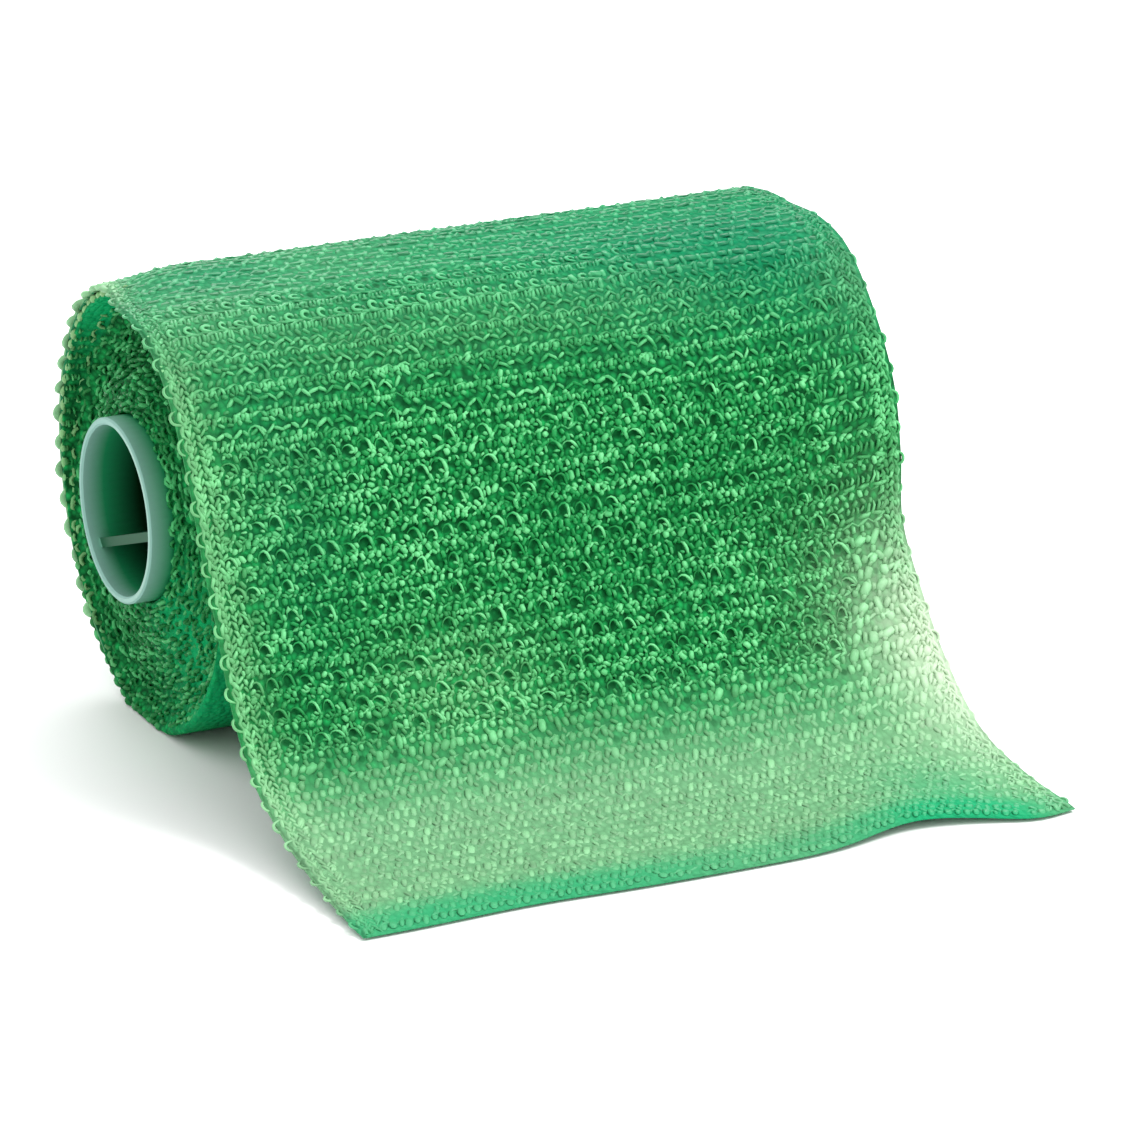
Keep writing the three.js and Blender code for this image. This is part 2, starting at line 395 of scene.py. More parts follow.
def finishTree(tree, yarn, given):
    real = addNode(tree, "GeometryNodeRealizeInstances", {"Geometry": yarn})
    smooth = addNode(tree, "GeometryNodeSetShadeSmooth", {"Geometry": real})
    done = addNode(tree, "GeometryNodeSetMaterial", {"Geometry": smooth, "Material": given["Material"]})
    tree.links.new(done, tree.nodes.new("NodeGroupOutput").inputs["Geometry"])
    return tree


def sweptYarn(tree, path, thickness, given):
    # a tube along the path, with its thickness kept as the attribute fat
    path = storeFloat(tree, path, "fat", thickness)
    size = {"Resolution": given["Yarn sides"], "Radius": given["Yarn radius"]}
    ring = addNode(tree, "GeometryNodeCurvePrimitiveCircle", size, mode="RADIUS")
    inputs = {"Curve": path, "Profile Curve": ring, "Scale": named(tree, "fat"), "Fill Caps": True}
    return addNode(tree, "GeometryNodeCurveToMesh", inputs)


def loopsTree():
    # a yarn loop on each point, stood on the cloth by its outAxis and headAxis
    tree, given = newTree("yarnLoopsOnCloth", {
        "Loop": "Object",
        "Yarn radius": "Float",
        "Yarn sides": "Int",
        "Step along yarn": "Float",
        "Place unevenness": "Vector",
        "Turn unevenness": "Vector",
        "Size unevenness": "Vector",
        "Seed": "Int",
        "Material": "Material",
    })
    seed, relief = given["Seed"], named(tree, "relief")
    path = addNode(tree, "GeometryNodeObjectInfo", {"Object": given["Loop"]}, "Geometry")
    spacing = {"Curve": path, "Length": given["Step along yarn"]}
    path = addNode(tree, "GeometryNodeResampleCurve", spacing, mode="LENGTH")
    yarn = sweptYarn(tree, path, addNode(tree, "GeometryNodeInputRadius"), given)
    shake = randomVector(tree, given["Place unevenness"], seed)
    shaken = addNode(tree, "GeometryNodeSetPosition", {"Geometry": given["Geometry"], "Offset": shake})
    axes = {0: named(tree, "outAxis", "FLOAT_VECTOR"), 1: named(tree, "headAxis", "FLOAT_VECTOR")}
    stood = addNode(tree, "FunctionNodeAxesToRotation", axes, primary_axis="Z", secondary_axis="Y")
    turn = randomVector(tree, scaled(tree, given["Turn unevenness"], relief), plus(tree, seed, 1.0))
    turn = addNode(tree, "FunctionNodeEulerToRotation", {0: turn})
    turned = {"Rotation": stood, "Rotate By": turn}
    turned = addNode(tree, "FunctionNodeRotateRotation", turned, rotation_space="LOCAL")
    size = randomVector(tree, given["Size unevenness"], plus(tree, seed, 2.0))
    size = vectorMath(tree, "ADD", size, (1, 1, 1))
    wide = plus(tree, 1.0, named(tree, "plumper"))
    long = times(tree, wide, plus(tree, 1.0, named(tree, "longer")))
    own = addNode(tree, "ShaderNodeCombineXYZ", {"X": wide, "Y": long, "Z": relief})
    size = vectorMath(tree, "MULTIPLY", size, own)
    inputs = {"Points": shaken, "Instance": yarn, "Rotation": turned, "Scale": size}
    loops = addNode(tree, "GeometryNodeInstanceOnPoints", inputs)
    toned = storeFloat(tree, loops, "tone", randomTone(tree, seed), "INSTANCE")
    return finishTree(tree, toned, given)


def cordsTree():
    # a yarn along each row of edges, waving by its phase
    tree, given = newTree("yarnsAlongRows", {
        "Yarn radius": "Float",
        "Yarn sides": "Int",
        "Wave out": "Float",
        "Wave along": "Float",
        "Beading": "Float",
        "Unevenness": "Vector",
        "Seed": "Int",
        "Material": "Material",
    })
    phase = named(tree, "phase")
    outShift = times(tree, addMath(tree, "COSINE", phase), given["Wave out"])
    alongShift = times(tree, addMath(tree, "SINE", phase), given["Wave along"])
    out = scaled(tree, named(tree, "outAxis", "FLOAT_VECTOR"), outShift)
    along = scaled(tree, named(tree, "headAxis", "FLOAT_VECTOR"), alongShift)
    shake = randomVector(tree, given["Unevenness"], given["Seed"])
    offset = vectorMath(tree, "ADD", vectorMath(tree, "ADD", out, along), shake)
    waved = addNode(tree, "GeometryNodeSetPosition", {"Geometry": given["Geometry"], "Offset": offset})
    toned = storeFloat(tree, waved, "tone", randomTone(tree, given["Seed"]))
    rows = addNode(tree, "GeometryNodeMeshToCurve", {"Mesh": toned})
    beads = times(tree, addMath(tree, "COSINE", times(tree, phase, 2.0)), given["Beading"])
    return finishTree(tree, sweptYarn(tree, rows, plus(tree, beads, 1.0), given), given)


loopsOnCloth = loopsTree()
cordsOnRows = cordsTree()
keptLayers = ("tone", "fat", "glint", "pale", "shadeAndLightThrough", "jade", "backLit", "haze")


def growYarn(piece, tree, values):
    # runs a tree on a piece and keeps the result as its plain mesh
    modifier = piece.modifiers.new("yarn", "NODES")
    modifier.node_group = tree
    for item in tree.interface.items_tree:
        if item.in_out == "INPUT" and item.name in values:
            modifier[item.identifier] = values[item.name]
    graph = bpy.context.evaluated_depsgraph_get()
    grown = bpy.data.meshes.new_from_object(piece.evaluated_get(graph), depsgraph=graph)
    piece.modifiers.clear()
    piece.data = grown
    layers = [layer for layer in grown.attributes if layer.domain == "POINT" and not layer.is_required]
    for name in [layer.name for layer in layers if layer.name not in keptLayers]:
        grown.attributes.remove(grown.attributes[name])
    if grown.materials[0] is None:
        grown.materials.pop(index=0)
    countTriangles(piece)
    return piece


def yarnPath(name, points):
    curve = bpy.data.curves.new(name, "CURVE")
    curve.dimensions = "3D"
    spline = curve.splines.new("BEZIER")
    spline.bezier_points.add(len(points) - 1)
    for knot, (x, y, z, thickness) in zip(spline.bezier_points, points):
        knot.co = (x * mm, y * mm, z * mm)
        knot.radius = thickness
        knot.handle_left_type = knot.handle_right_type = "AUTO"
    return linked(name, curve)


def growLoops(name, loop, placed, tint, seed, material):
    # a yarn loop on each place, stood up by its out axis and headed by its head axis
    place, outAxis, headAxis = placed
    vectors = {"outAxis": outAxis, "headAxis": headAxis}
    piece = makeObject(name, place, [], attributes=tint, vectors=vectors)
    path = yarnPath(name + "Path", loop["points"])
    growYarn(piece, loopsOnCloth, {
        "Loop": path,
        "Yarn radius": loop["radius"] * mm,
        "Yarn sides": loop["sides"],
        "Step along yarn": loop["step"] * mm,
        "Place unevenness": [value * mm for value in loop["placeShake"]],
        "Turn unevenness": loop["turnShake"],
        "Size unevenness": loop["sizeShake"],
        "Seed": seed,
        "Material": material,
    })
    bpy.data.objects.remove(path)
    return piece


def growCords(name, cord, placed, rows, phase, tint, seed):
    # a yarn along each row of places, waving out and towards its head axis by its phase
    place, outAxis, headAxis = placed
    index = np.arange(len(place)).reshape(rows, -1)
    edges = np.stack([index[:, :-1].ravel(), index[:, 1:].ravel()], axis=-1).tolist()
    vectors = {"outAxis": outAxis, "headAxis": headAxis}
    piece = makeObject(name, place, [], edges, {"phase": phase, **tint}, vectors)
    return growYarn(piece, cordsOnRows, {
        "Yarn radius": cord["radius"] * mm,
        "Yarn sides": cord["sides"],
        "Wave out": cord["waveOut"] * mm,
        "Wave along": cord["waveAlong"] * mm,
        "Beading": cord["beading"],
        "Unevenness": [value * mm for value in cord["shake"]],
        "Seed": seed,
        "Material": yarnMaterial,
    })


# Materials
def newMaterial(name, look):
    material = bpy.data.materials.new(name)
    material.use_nodes = True
    tree = material.node_tree
    shader = tree.nodes["Principled BSDF"]
    shader.inputs["Roughness"].default_value = look["roughness"]
    if "specular" in look:
        shader.inputs["Specular IOR Level"].default_value = look["specular"]
    return material, tree, shader.inputs


def shadeAttribute(tree, name, output="Fac"):
    return addNode(tree, "ShaderNodeAttribute", None, output, attribute_name=name)


def mixColour(tree, share, first, second):
    first, second = ((*value, 1.0) if isinstance(value, tuple) else value for value in (first, second))
    inputs = {0: share, 6: first, 7: second}
    return addNode(tree, "ShaderNodeMix", inputs, 2, data_type="RGBA", clamp_factor=True)


def noiseOn(tree, scale):
    place = addNode(tree, "ShaderNodeTexCoord", None, "Object")
    return addNode(tree, "ShaderNodeTexNoise", {"Vector": place, "Scale": scale, "Detail": 2.0}, "Fac")


def addBump(tree, shader, height, look):
    inputs = {"Height": height, "Strength": look["bump"], "Distance": look["bumpDepth"] * mm}
    tree.links.new(addNode(tree, "ShaderNodeBump", inputs), shader["Normal"])


def zoned(tree, base, tone, look):
    # the zones of haze, pale painted light, a deep green painted for shade and for light seen through
    # the cloth, and painted light from behind, over the yarn's own tones
    zone = {name: shadeAttribute(tree, name) for name in ("pale", "shadeAndLightThrough", "haze", "jade", "backLit")}
    base = mixColour(tree, zone["pale"], base, look["pale"])
    hazy = mixColour(tree, zone["pale"], look["haze"], look["paleHaze"])
    hazy = mixColour(tree, zone["shadeAndLightThrough"], hazy, look["shadeAndLightThrough"])
    strength = plus(tree, 1 - look["hazeTone"] / 2, times(tree, tone, look["hazeTone"]))
    base = mixColour(tree, zone["shadeAndLightThrough"], base, look["shadeAndLightThrough"])
    base = mixColour(tree, zone["haze"], base, scaled(tree, hazy, strength))
    base = mixColour(tree, zone["jade"], base, look["jade"])
    return mixColour(tree, zone["backLit"], base, look["backLit"])


yarnLook = {
    "deep": (0.008, 0.20, 0.045),
    "middle": (0.022, 0.37, 0.095),
    "mint": (0.16, 0.62, 0.25),
    "pale": (0.26, 0.59, 0.28),
    "haze": (0.011, 0.225, 0.087),
    "paleHaze": (0.21, 0.44, 0.228),
    "shadeAndLightThrough": (0.002, 0.195, 0.085),
    "jade": (0.018, 0.34, 0.14),
    "backLit": (0.54, 0.69, 0.49),
    # how strongly the yarn's own tone, its thickness, clouds and patches change the colour; thicker is
    # painted brighter, a painted highlight, and the brightest tones turn to the mint of a painted
    # highlight
    "ownTone": 0.6,
    "fatHighlight": 0.9,
    "cloudTone": 1.5,
    "cloudScale": 520.0,
    "patchTone": 0.7,
    "patchScale": 75.0,
    "darker": 0.9,
    "mintFrom": 0.5,
    "mintRise": 2.2,
    "hazeTone": 0.62,
    "roughness": 0.38,
    "specular": 0.17,
    "fibreScale": 5200.0,
    "bump": 0.25,
    "bumpDepth": 0.1,
}

# the edges of the wound turns: a darker copy of the loose cloth's yarn, painted shade for the recessed
# ends of the roll
shadedTurnEdgeLook = {
    **yarnLook,
    "deep": (0.002, 0.12, 0.022),
    "middle": (0.012, 0.23, 0.055),
    "mint": (0.07, 0.42, 0.14),
    "pale": (0.26, 0.48, 0.21),
    "specular": 0.15,
    "fatHighlight": 0.3,
}


def makeYarnMaterial(name, look):
    material, tree, shader = newMaterial(name, look)
    own = times(tree, shadeAttribute(tree, "tone"), look["ownTone"])
    # painted highlight: thicker parts of a yarn, such as an arch's right limb, are brighter
    fat = times(tree, minus(tree, shadeAttribute(tree, "fat"), 1.0), look["fatHighlight"])
    cloud = times(tree, noiseOn(tree, look["cloudScale"]), look["cloudTone"])
    patch = times(tree, noiseOn(tree, look["patchScale"]), look["patchTone"])
    tone = plus(tree, plus(tree, own, cloud), plus(tree, patch, fat))
    # glint: a painted highlight on bright stitches, painted shade where it is below nought
    tone = plus(tree, tone, shadeAttribute(tree, "glint"))
    tone = minus(tree, tone, look["darker"], clamp=True)
    base = mixColour(tree, tone, look["deep"], look["middle"])
    # the brightest tones turn mint, a painted highlight colour that the yarn's random tone reaches too
    high = times(tree, minus(tree, tone, look["mintFrom"]), look["mintRise"], clamp=True)
    base = mixColour(tree, high, base, look["mint"])
    tree.links.new(zoned(tree, base, tone, look), shader["Base Color"])
    addBump(tree, shader, noiseOn(tree, look["fibreScale"]), look)
    return material


gapLook = {
    # painted shade: the dark of the gaps, of the threads' rims and of the holes
    "dark": (0.001, 0.055, 0.012),
    "thread": (0.012, 0.33, 0.078),
    "pale": (0.05, 0.36, 0.11),
    "haze": (0.011, 0.225, 0.087),
    "paleHaze": (0.17, 0.385, 0.195),
    "shadeAndLightThrough": (0.002, 0.195, 0.083),
    "jade": (0.012, 0.33, 0.135),
    "backLit": (0.45, 0.61, 0.41),
    "hazeTone": 0.35,
    "holeMiddle": (0.5, 0.32),
    "holeSharpness": 1.6,
    "threadPitch": (1.05, 1.25),
    "threadFall": 1.35,
    "leastTone": 0.55,
    "ownTone": 0.75,
    "randomness": 0.8,
    "roughness": 0.7,
    "specular": 0.05,
    "bump": 0.9,
    "bumpDepth": 0.4,
}

# the wound body's cloth, bright where light comes through it
bodyLook = {**gapLook, "shadeAndLightThrough": (0.002, 0.36, 0.12)}


def shadeInLoopHoles(tree):
    # painted shade: a dark hole in each knit loop, where only shade shows through
    place = shadeAttribute(tree, "cellPlace", "Vector")
    split = addNode(tree, "ShaderNodeSeparateXYZ", {"Vector": place}).node.outputs
    waves = []
    for axis, middle in zip("XY", gapLook["holeMiddle"]):
        turn = times(tree, minus(tree, split[axis], middle), 2 * math.pi)
        waves.append(addMath(tree, "COSINE", turn))
    both = plus(tree, waves[0], times(tree, waves[1], 2.0))
    inHole = times(tree, minus(tree, both, 2.0), gapLook["holeSharpness"], clamp=True)
    return times(tree, inHole, shadeAttribute(tree, "hole"))


def makeGapMaterial(name, look):
    # the threads that show in the gaps between loops are rounded cells, each with a tone of its own, and
    # darker towards its rim: painted shade between the threads
    material, tree, shader = newMaterial(name, look)
    place = shadeAttribute(tree, "threadPlace", "Vector")
    inputs = {"Vector": place, "Scale": 1.0, "Randomness": look["randomness"]}
    cells = addNode(tree, "ShaderNodeTexVoronoi", inputs).node.outputs
    knuckle = minus(tree, 1.0, times(tree, cells["Distance"], look["threadFall"]), clamp=True)
    own = addNode(tree, "ShaderNodeSeparateXYZ", {"Vector": cells["Color"]}, "X")
    tone = times(tree, knuckle, plus(tree, look["leastTone"], times(tree, own, look["ownTone"])))
    base = mixColour(tree, tone, look["dark"], look["thread"])
    base = zoned(tree, base, tone, look)
    base = mixColour(tree, shadeInLoopHoles(tree), base, look["dark"])
    tree.links.new(base, shader["Base Color"])
    addBump(tree, shader, knuckle, look)
    return material


underLook = {
    "deep": (0.002, 0.15, 0.05),
    "bright": (0.005, 0.30, 0.11),
    "patchScale": 700.0,
    "roughness": 0.5,
    "specular": 0.25,
    "bumpScale": 1600.0,
    "bump": 0.6,
    "bumpDepth": 0.4,
}


def makeUnderMaterial():
    material, tree, shader = newMaterial("clothUnderside", underLook)
    patches = noiseOn(tree, underLook["patchScale"])
    base = mixColour(tree, patches, underLook["deep"], underLook["bright"])
    tree.links.new(base, shader["Base Color"])
    addBump(tree, shader, noiseOn(tree, underLook["bumpScale"]), underLook)
    return material


coreLook = {
    "edge": (0.38, 0.58, 0.48),
    "rim": (0.235, 0.43, 0.375),
    "inside": (0.012, 0.24, 0.09),
    "deep": (0.0005, 0.018, 0.004),
    "edgeDepth": 0.9,
    "lightReach": 4.0,
    "darkFrom": 9.0,
    "edgeSharpness": 4.0,
    "frontShare": 0.4,
    "ringWidth": 1.6,
    "ringSharpness": 3.0,
    "web": (0.006, 0.070, 0.028),
    "webShade": 0.97,
    "roughness": 0.5,
    "specular": 0.12,
}


def makeCoreMaterial():
    # frosted plastic lets light in at its ends, and is dark where the tape shuts it in
    material, tree, shader = newMaterial("frostedCore", coreLook)
    place = addNode(tree, "ShaderNodeTexCoord", None, "Object")
    x = addNode(tree, "ShaderNodeSeparateXYZ", {"Vector": place}, "X")
    inside = minus(tree, tapeWidth / 2 * mm, addMath(tree, "ABSOLUTE", x))
    base = coreLook["rim"]
    depths = (coreLook["edgeDepth"], coreLook["lightReach"], coreLook["darkFrom"])
    for start, end, colour in zip(depths, depths[1:], ("inside", "deep")):
        share = addMath(tree, "DIVIDE", minus(tree, inside, start * mm), (end - start) * mm, clamp=True)
        base = mixColour(tree, share, base, coreLook[colour])
    nearEnd = minus(tree, coreLook["edgeDepth"] * mm, inside)
    nearEnd = times(tree, nearEnd, coreLook["edgeSharpness"] / mm, clamp=True)
    flat = vectorMath(tree, "ADD", place, (0, -axisY * mm, -axisZ * mm))
    flat = vectorMath(tree, "MULTIPLY", flat, (0, 1, 1))
    radius = vectorMath(tree, "LENGTH", flat, output="Value")
    onRing = minus(tree, radius, (coreRadius - coreLook["ringWidth"]) * mm)
    onRing = times(tree, onRing, coreLook["ringSharpness"] / mm, clamp=True)
    front = addNode(tree, "ShaderNodeSeparateXYZ", {"Vector": flat}, "Y")
    front = addMath(tree, "DIVIDE", front, coreRadius * mm)
    front = minus(tree, coreLook["frontShare"], front, clamp=True)
    litEdge = times(tree, times(tree, nearEnd, onRing), front)
    base = mixColour(tree, litEdge, base, coreLook["edge"])
    onWeb = times(tree, minus(tree, 1.0, onRing), coreLook["webShade"])
    base = mixColour(tree, onWeb, base, coreLook["web"])
    tree.links.new(base, shader["Base Color"])
    return material


yarnMaterial = makeYarnMaterial("knitYarn", yarnLook)
shadedTurnMaterial = makeYarnMaterial("shadedTurnEdgeYarn", shadedTurnEdgeLook)
gapMaterial = makeGapMaterial("clothInGaps", gapLook)
bodyMaterial = makeGapMaterial("woundCloth", bodyLook)
underMaterial = makeUnderMaterial()
coreMaterial = makeCoreMaterial()
print("materials made")


# The loose turn's ground cloth, under its loops
groundCloth = {
    "steps": (170, 60),
    "raised": 0.17,
    "lessAtFoot": 0.06,
    "nearCut": 2.5,
    "holes": 0.62,
}


def hemFaces(rows, columns):
    # the narrow faces that join the cloth's outer and inner side at its four edges
    count = rows * columns
    corners = []
    for i in range(rows - 1):
        corners += [(i * columns, columns, False), (i * columns + columns - 1, columns, True)]
    for j in range(columns - 1):
        corners += [(j, 1, True), ((rows - 1) * columns + j, 1, False)]
    faces = []
    for corner, step, flip in corners:
        side = [corner, corner + count, corner + step + count, corner + step]
        faces.append(side[::-1] if flip else side)
    return faces


def makeLooseCloth():
    rows, columns = groundCloth["steps"]
    lengths, shares = np.linspace(0, looseLength, rows), np.linspace(0, 1, columns)
    along, share = np.meshgrid(lengths, shares, indexing="ij")
    nearCut = ease(along, looseLength - groundCloth["nearCut"], looseLength)
    foot = ease(along, *footReach)
    tint = clothTint(along, share)
    raised = (groundCloth["raised"] - groundCloth["lessAtFoot"] * foot) * tint["haze"] * (1 - nearCut)
    outerDepth = knit["clothDepth"] - raised + 0.1 * nearCut
    innerDepth = clothInside - 0.15 * nearCut
    sides = [looseFrame(along, share, depth[..., None])[0] for depth in (outerDepth, innerDepth)]
    places = np.concatenate(sides).reshape(-1, 3)
    places[:, 2] = np.maximum(places[:, 2], 0.05)
    faces = gridFaces(rows, columns)
    outerCount = len(faces)
    faces += gridFaces(rows, columns, start=rows * columns, flip=True) + hemFaces(rows, columns)
    # painted shade in the loop holes, none where light comes through from behind
    tint["hole"] = groundCloth["holes"] * ease(along, 86, 92) * (1 - ease(along, 156, 168))
    tint["hole"] = tint["hole"] * (1 - tint["backLit"])
    wide, long = gapLook["threadPitch"]
    threads = np.stack([share * tapeWidth / wide, along / long, np.full(share.shape, 0.5)], axis=-1)
    vectors = {"threadPlace": threads, "cellPlace": cellPlace(along, share)}
    attributes = {key: np.tile(values.ravel(), 2) for key, values in tint.items()}
    vectors = {key: np.tile(values.reshape(-1, 3), (2, 1)) for key, values in vectors.items()}
    cloth = makeObject("looseCloth", places, faces, attributes=attributes, vectors=vectors)
    finishCloth(cloth, gapMaterial, underMaterial)
    slots = np.zeros(len(cloth.data.polygons), int)
    slots[outerCount : 2 * outerCount] = 1
    cloth.data.polygons.foreach_set("material_index", slots)
    return cloth


# The knit's yarn shapes: plump dots, short strokes, and arches that are thicker on their right side.
# Each point of a path is across, towards the head, out of the cloth, and its thickness there.
stitchShake = {
    "placeShake": (0.13, 0.13, 0.08),
    "turnShake": (0.2, 0.2, 0.22),
    "sizeShake": (0.24, 0.28, 0.22),
}
dot = {
    "points": (
        (0.0, -0.40, -0.32, 0.62),
        (0.0, -0.18, 0.09, 0.98),
        (0.0, 0.17, 0.10, 1.0),
        (0.0, 0.38, -0.32, 0.62),
    ),
    "radius": 0.34,
    "sides": 6,
    "step": 0.42,
    "depth": 0.38,
    **stitchShake,
}
stroke = {
    "points": (
        (-0.05, -0.66, -0.30, 0.7),
        (0.0, -0.30, 0.16, 1.05),
        (0.04, 0.26, 0.20, 1.1),
        (0.0, 0.62, -0.30, 0.7),
    ),
    "radius": 0.25,
    "sides": 4,
    "step": 0.5,
    "depth": 0.40,
    **stitchShake,
}
arch = {
    "points": (
        (-0.75, 0.10, -0.34, 0.5),
        (-0.86, 0.45, -0.10, 0.55),
        (-0.74, 0.95, 0.05, 0.6),
        (-0.38, 1.32, 0.14, 0.75),
        (0.06, 1.42, 0.20, 0.95),
        (0.44, 1.20, 0.25, 1.15),
        (0.70, 0.78, 0.27, 1.25),
        (0.88, 0.28, 0.24, 1.2),
        (1.04, -0.18, 0.10, 1.0),
        (1.20, -0.52, -0.32, 0.8),
    ),
    "radius": 0.19,
    "sides": 4,
    "step": 0.5,
    "depth": 0.42,
    "seed": 9,
    **stitchShake,
}
hook = {
    "points": (
        (0.62, -0.42, -0.25, 0.8),
        (0.05, -0.56, 0.10, 1.1),
        (-0.48, -0.12, 0.15, 1.25),
        (-0.30, 0.48, 0.15, 1.25),
        (0.28, 0.62, 0.12, 1.1),
        (0.66, 0.30, -0.10, 0.8),
    ),
    "radius": 0.24,
    "sides": 5,
    "step": 0.4,
    "depth": 0.36,
    **stitchShake,
}


def abreast(shape, places, *traits):
    # the same stitch at several places across a cell
    return [(shape, across, *traits) for across in places]


# The stitches of a knit cell in each zone of the tape: the shape, its place across and towards the
# head, its lean, how much longer and plumper it is than the shape, and how much brighter it is, a
# painted highlight that turns to painted shade below nought
zoneStitches = {
    "far": (
        ("dot", -0.25, 0.65, 1.57, 0.15, 0.62, -0.15),
        ("dot", 0.85, 0.55, -0.25, 0.25, 0.40, 0.3),
        ("dot", 0.92, -1.40, 1.57, 0.15, 0.62, -0.15),
        ("dot", -0.32, -1.50, -0.25, 0.25, 0.40, 0.25),
    ),
    "marks": (
        ("hook", 0.0, 0.60, 0.0, 0.0, 0.0, 0.35),
        ("dot", 1.17, 0.60, 0.0, 0.3, -0.1, -0.15),
        ("stroke", 0.0, -0.45, 1.40, 0.3, 0.1, 0.0),
        ("stroke", 1.17, -0.40, 1.60, 0.2, 0.1, 0.0),
        *abreast("dot", (-0.59, 0.59), 1.80, 1.50, 0.1, -0.15, 0.0),
        *abreast("stroke", (-0.85, -0.25, 0.35, 0.95), -1.45, -0.15, 0.0, 0.1, 0.1),
    ),
    "rows": (
        ("stroke", -0.30, 0.70, -0.95, 0.25, -0.05, 0.1),
        ("stroke", 0.80, 0.70, 0.95, 0.25, -0.05, 0.1),
        ("dot", 0.0, -0.35, -0.70, 0.1, -0.08, 0.0),
        ("dot", 1.17, -0.30, -0.70, 0.1, -0.08, 0.0),
        ("dot", 0.30, 1.75, 0.80, 0.1, -0.12, -0.05),
        ("dot", -0.87, 1.75, 0.80, 0.1, -0.12, 0.0),
        ("stroke", -0.85, -1.40, 0.35, -0.25, 0.1, 0.0),
        ("stroke", -0.25, -1.40, -0.35, -0.25, 0.1, 0.0),
        ("stroke", 0.35, -1.40, 0.35, -0.25, 0.1, 0.0),
        ("stroke", 0.95, -1.40, -0.35, -0.25, 0.1, 0.0),
    ),
    "front": (
        ("dot", -0.59, -1.45, 0.1, -0.05, 0.15, 0.15),
        ("dot", 0.59, -1.45, -0.1, -0.05, 0.15, 0.15),
        ("dot", 0.0, -0.50, 0.7, 0.1, -0.08, 0.0),
        ("dot", 1.17, -0.50, -0.5, 0.1, -0.08, -0.05),
        ("dot", 0.0, 1.95, 0.4, 0.0, -0.05, -0.05),
        ("dot", 1.17, 1.50, -0.4, 0.1, -0.05, 0.0),
        ("stroke", 1.25, 0.45, 0.35, -0.1, -0.1, 0.1),
        ("stroke", -0.40, -0.95, 0.8, -0.25, -0.22, 0.1),
        ("stroke", 0.80, -0.95, -0.8, -0.25, -0.22, 0.1),
        ("stroke", 0.60, 1.95, 0.7, -0.25, -0.22, 0.1),
        ("stroke", -0.55, 1.85, -0.6, -0.25, -0.22, 0.1),
        ("stroke", 0.55, -0.05, 1.3, -0.25, -0.22, 0.1),
    ),
    "right": (
        ("stroke", -0.85, 0.70, -0.15, 0.15, -0.05, -0.05),
        ("stroke", -0.05, 0.75, -0.10, 0.15, -0.05, -0.05),
        ("stroke", 0.75, 0.70, -0.20, 0.15, -0.05, -0.05),
        ("stroke", 0.30, -0.40, -1.30, 0.3, 0.1, -0.1),
        ("dot", 0.0, 1.95, 0.4, 0.0, -0.15, -0.05),
        ("dot", 1.17, 1.80, -0.4, 0.1, -0.12, 0.0),
        ("dot", -0.59, -1.45, 0.1, 0.1, 0.0, 0.2),
        ("dot", 0.59, -1.45, -0.1, 0.1, 0.0, 0.2),
    ),
    "plump": (
        ("dot", 0.0, -1.30, -0.3, 0.05, 0.90, 0.15),
        ("dot", 1.17, 0.75, -0.3, 0.05, 0.90, 0.15),
        ("dot", 0.0, 0.75, -0.4, 0.1, 0.3, 0.0),
        ("dot", 1.17, -1.30, -0.4, 0.1, 0.3, 0.0),
        ("dot", 0.59, -0.30, -0.4, 0.0, 0.1, -0.1),
        ("dot", -0.59, 1.75, -0.4, 0.0, 0.1, -0.1),
    ),
    "foot": (
        ("dot", 0.0, 0.60, -0.40, 0.1, 0.60, 0.1),
        ("dot", 1.17, -1.45, -0.40, 0.1, 0.60, 0.1),
        ("dot", 1.17, 0.60, -0.40, 0.1, 0.30, -0.05),
        ("dot", 0.0, -1.45, -0.40, 0.1, 0.30, -0.05),
        ("dot", 0.59, -0.42, 0.30, 0.0, 0.15, -0.15),
        ("dot", -0.59, 1.62, 0.30, 0.0, 0.15, -0.15),
    ),
}
stitchShapes = {"dot": dot, "stroke": stroke, "hook": hook}
archlessStitches = (
    ("dot", -0.50, 0.65, 0.4, 0.1, 0.12, 0.05),
    ("dot", 0.50, 0.75, -0.4, 0.1, 0.12, 0.1),
)
# where the zones begin and end, in millimetres along the tape and, for the right ones, across it
zoneLimits = {
    "farUntil": 90,
    "farRightFrom": 66,
    "marksUntil": 98.5,
    "rowsUntil": 116,
    "footFrom": 156,
    "rightFrom": 91,
    "rightUntil": 140,
    "plumpFrom": 89,
    "plumpReach": (138, 166),
}
stitching = {
    "archShare": {"rows": 0.12, "front": 0.66, "right": 0.2},
    "archSize": -0.05,
    "leftOut": 0.05,
    "leanSpread": {"dot": 0.42, "stroke": 0.16, "hook": 0.12},
    "wander": 0.3,
    "bendAtRight": 1.7,
    "courseUnevenness": 0.22,
    # the pieces that the stitches are split into, by length along the tape
    "pieces": {"sBehind": (0, 64), "sOnTop": (64, 129), "sInFront": (129, 161), "sAtFoot": (161, 200)},
    "seed": 5,
}


def looseCells():
    # the middle of each knit cell, as lengths along the tape and shares of its width
    usable = tapeWidth - 2 * knit["edgeMargin"]
    wales = round(usable / knit["walePitch"])
    shares = (knit["edgeMargin"] + usable * (np.arange(wales) + 0.5) / wales) / tapeWidth
    room = looseLength - knit["firstCourse"] - knit["lastMargin"]
    courses = round(room / knit["coursePitch"])
    lengths = knit["firstCourse"] + room * (np.arange(courses) + 0.5) / courses
    return lengths, shares


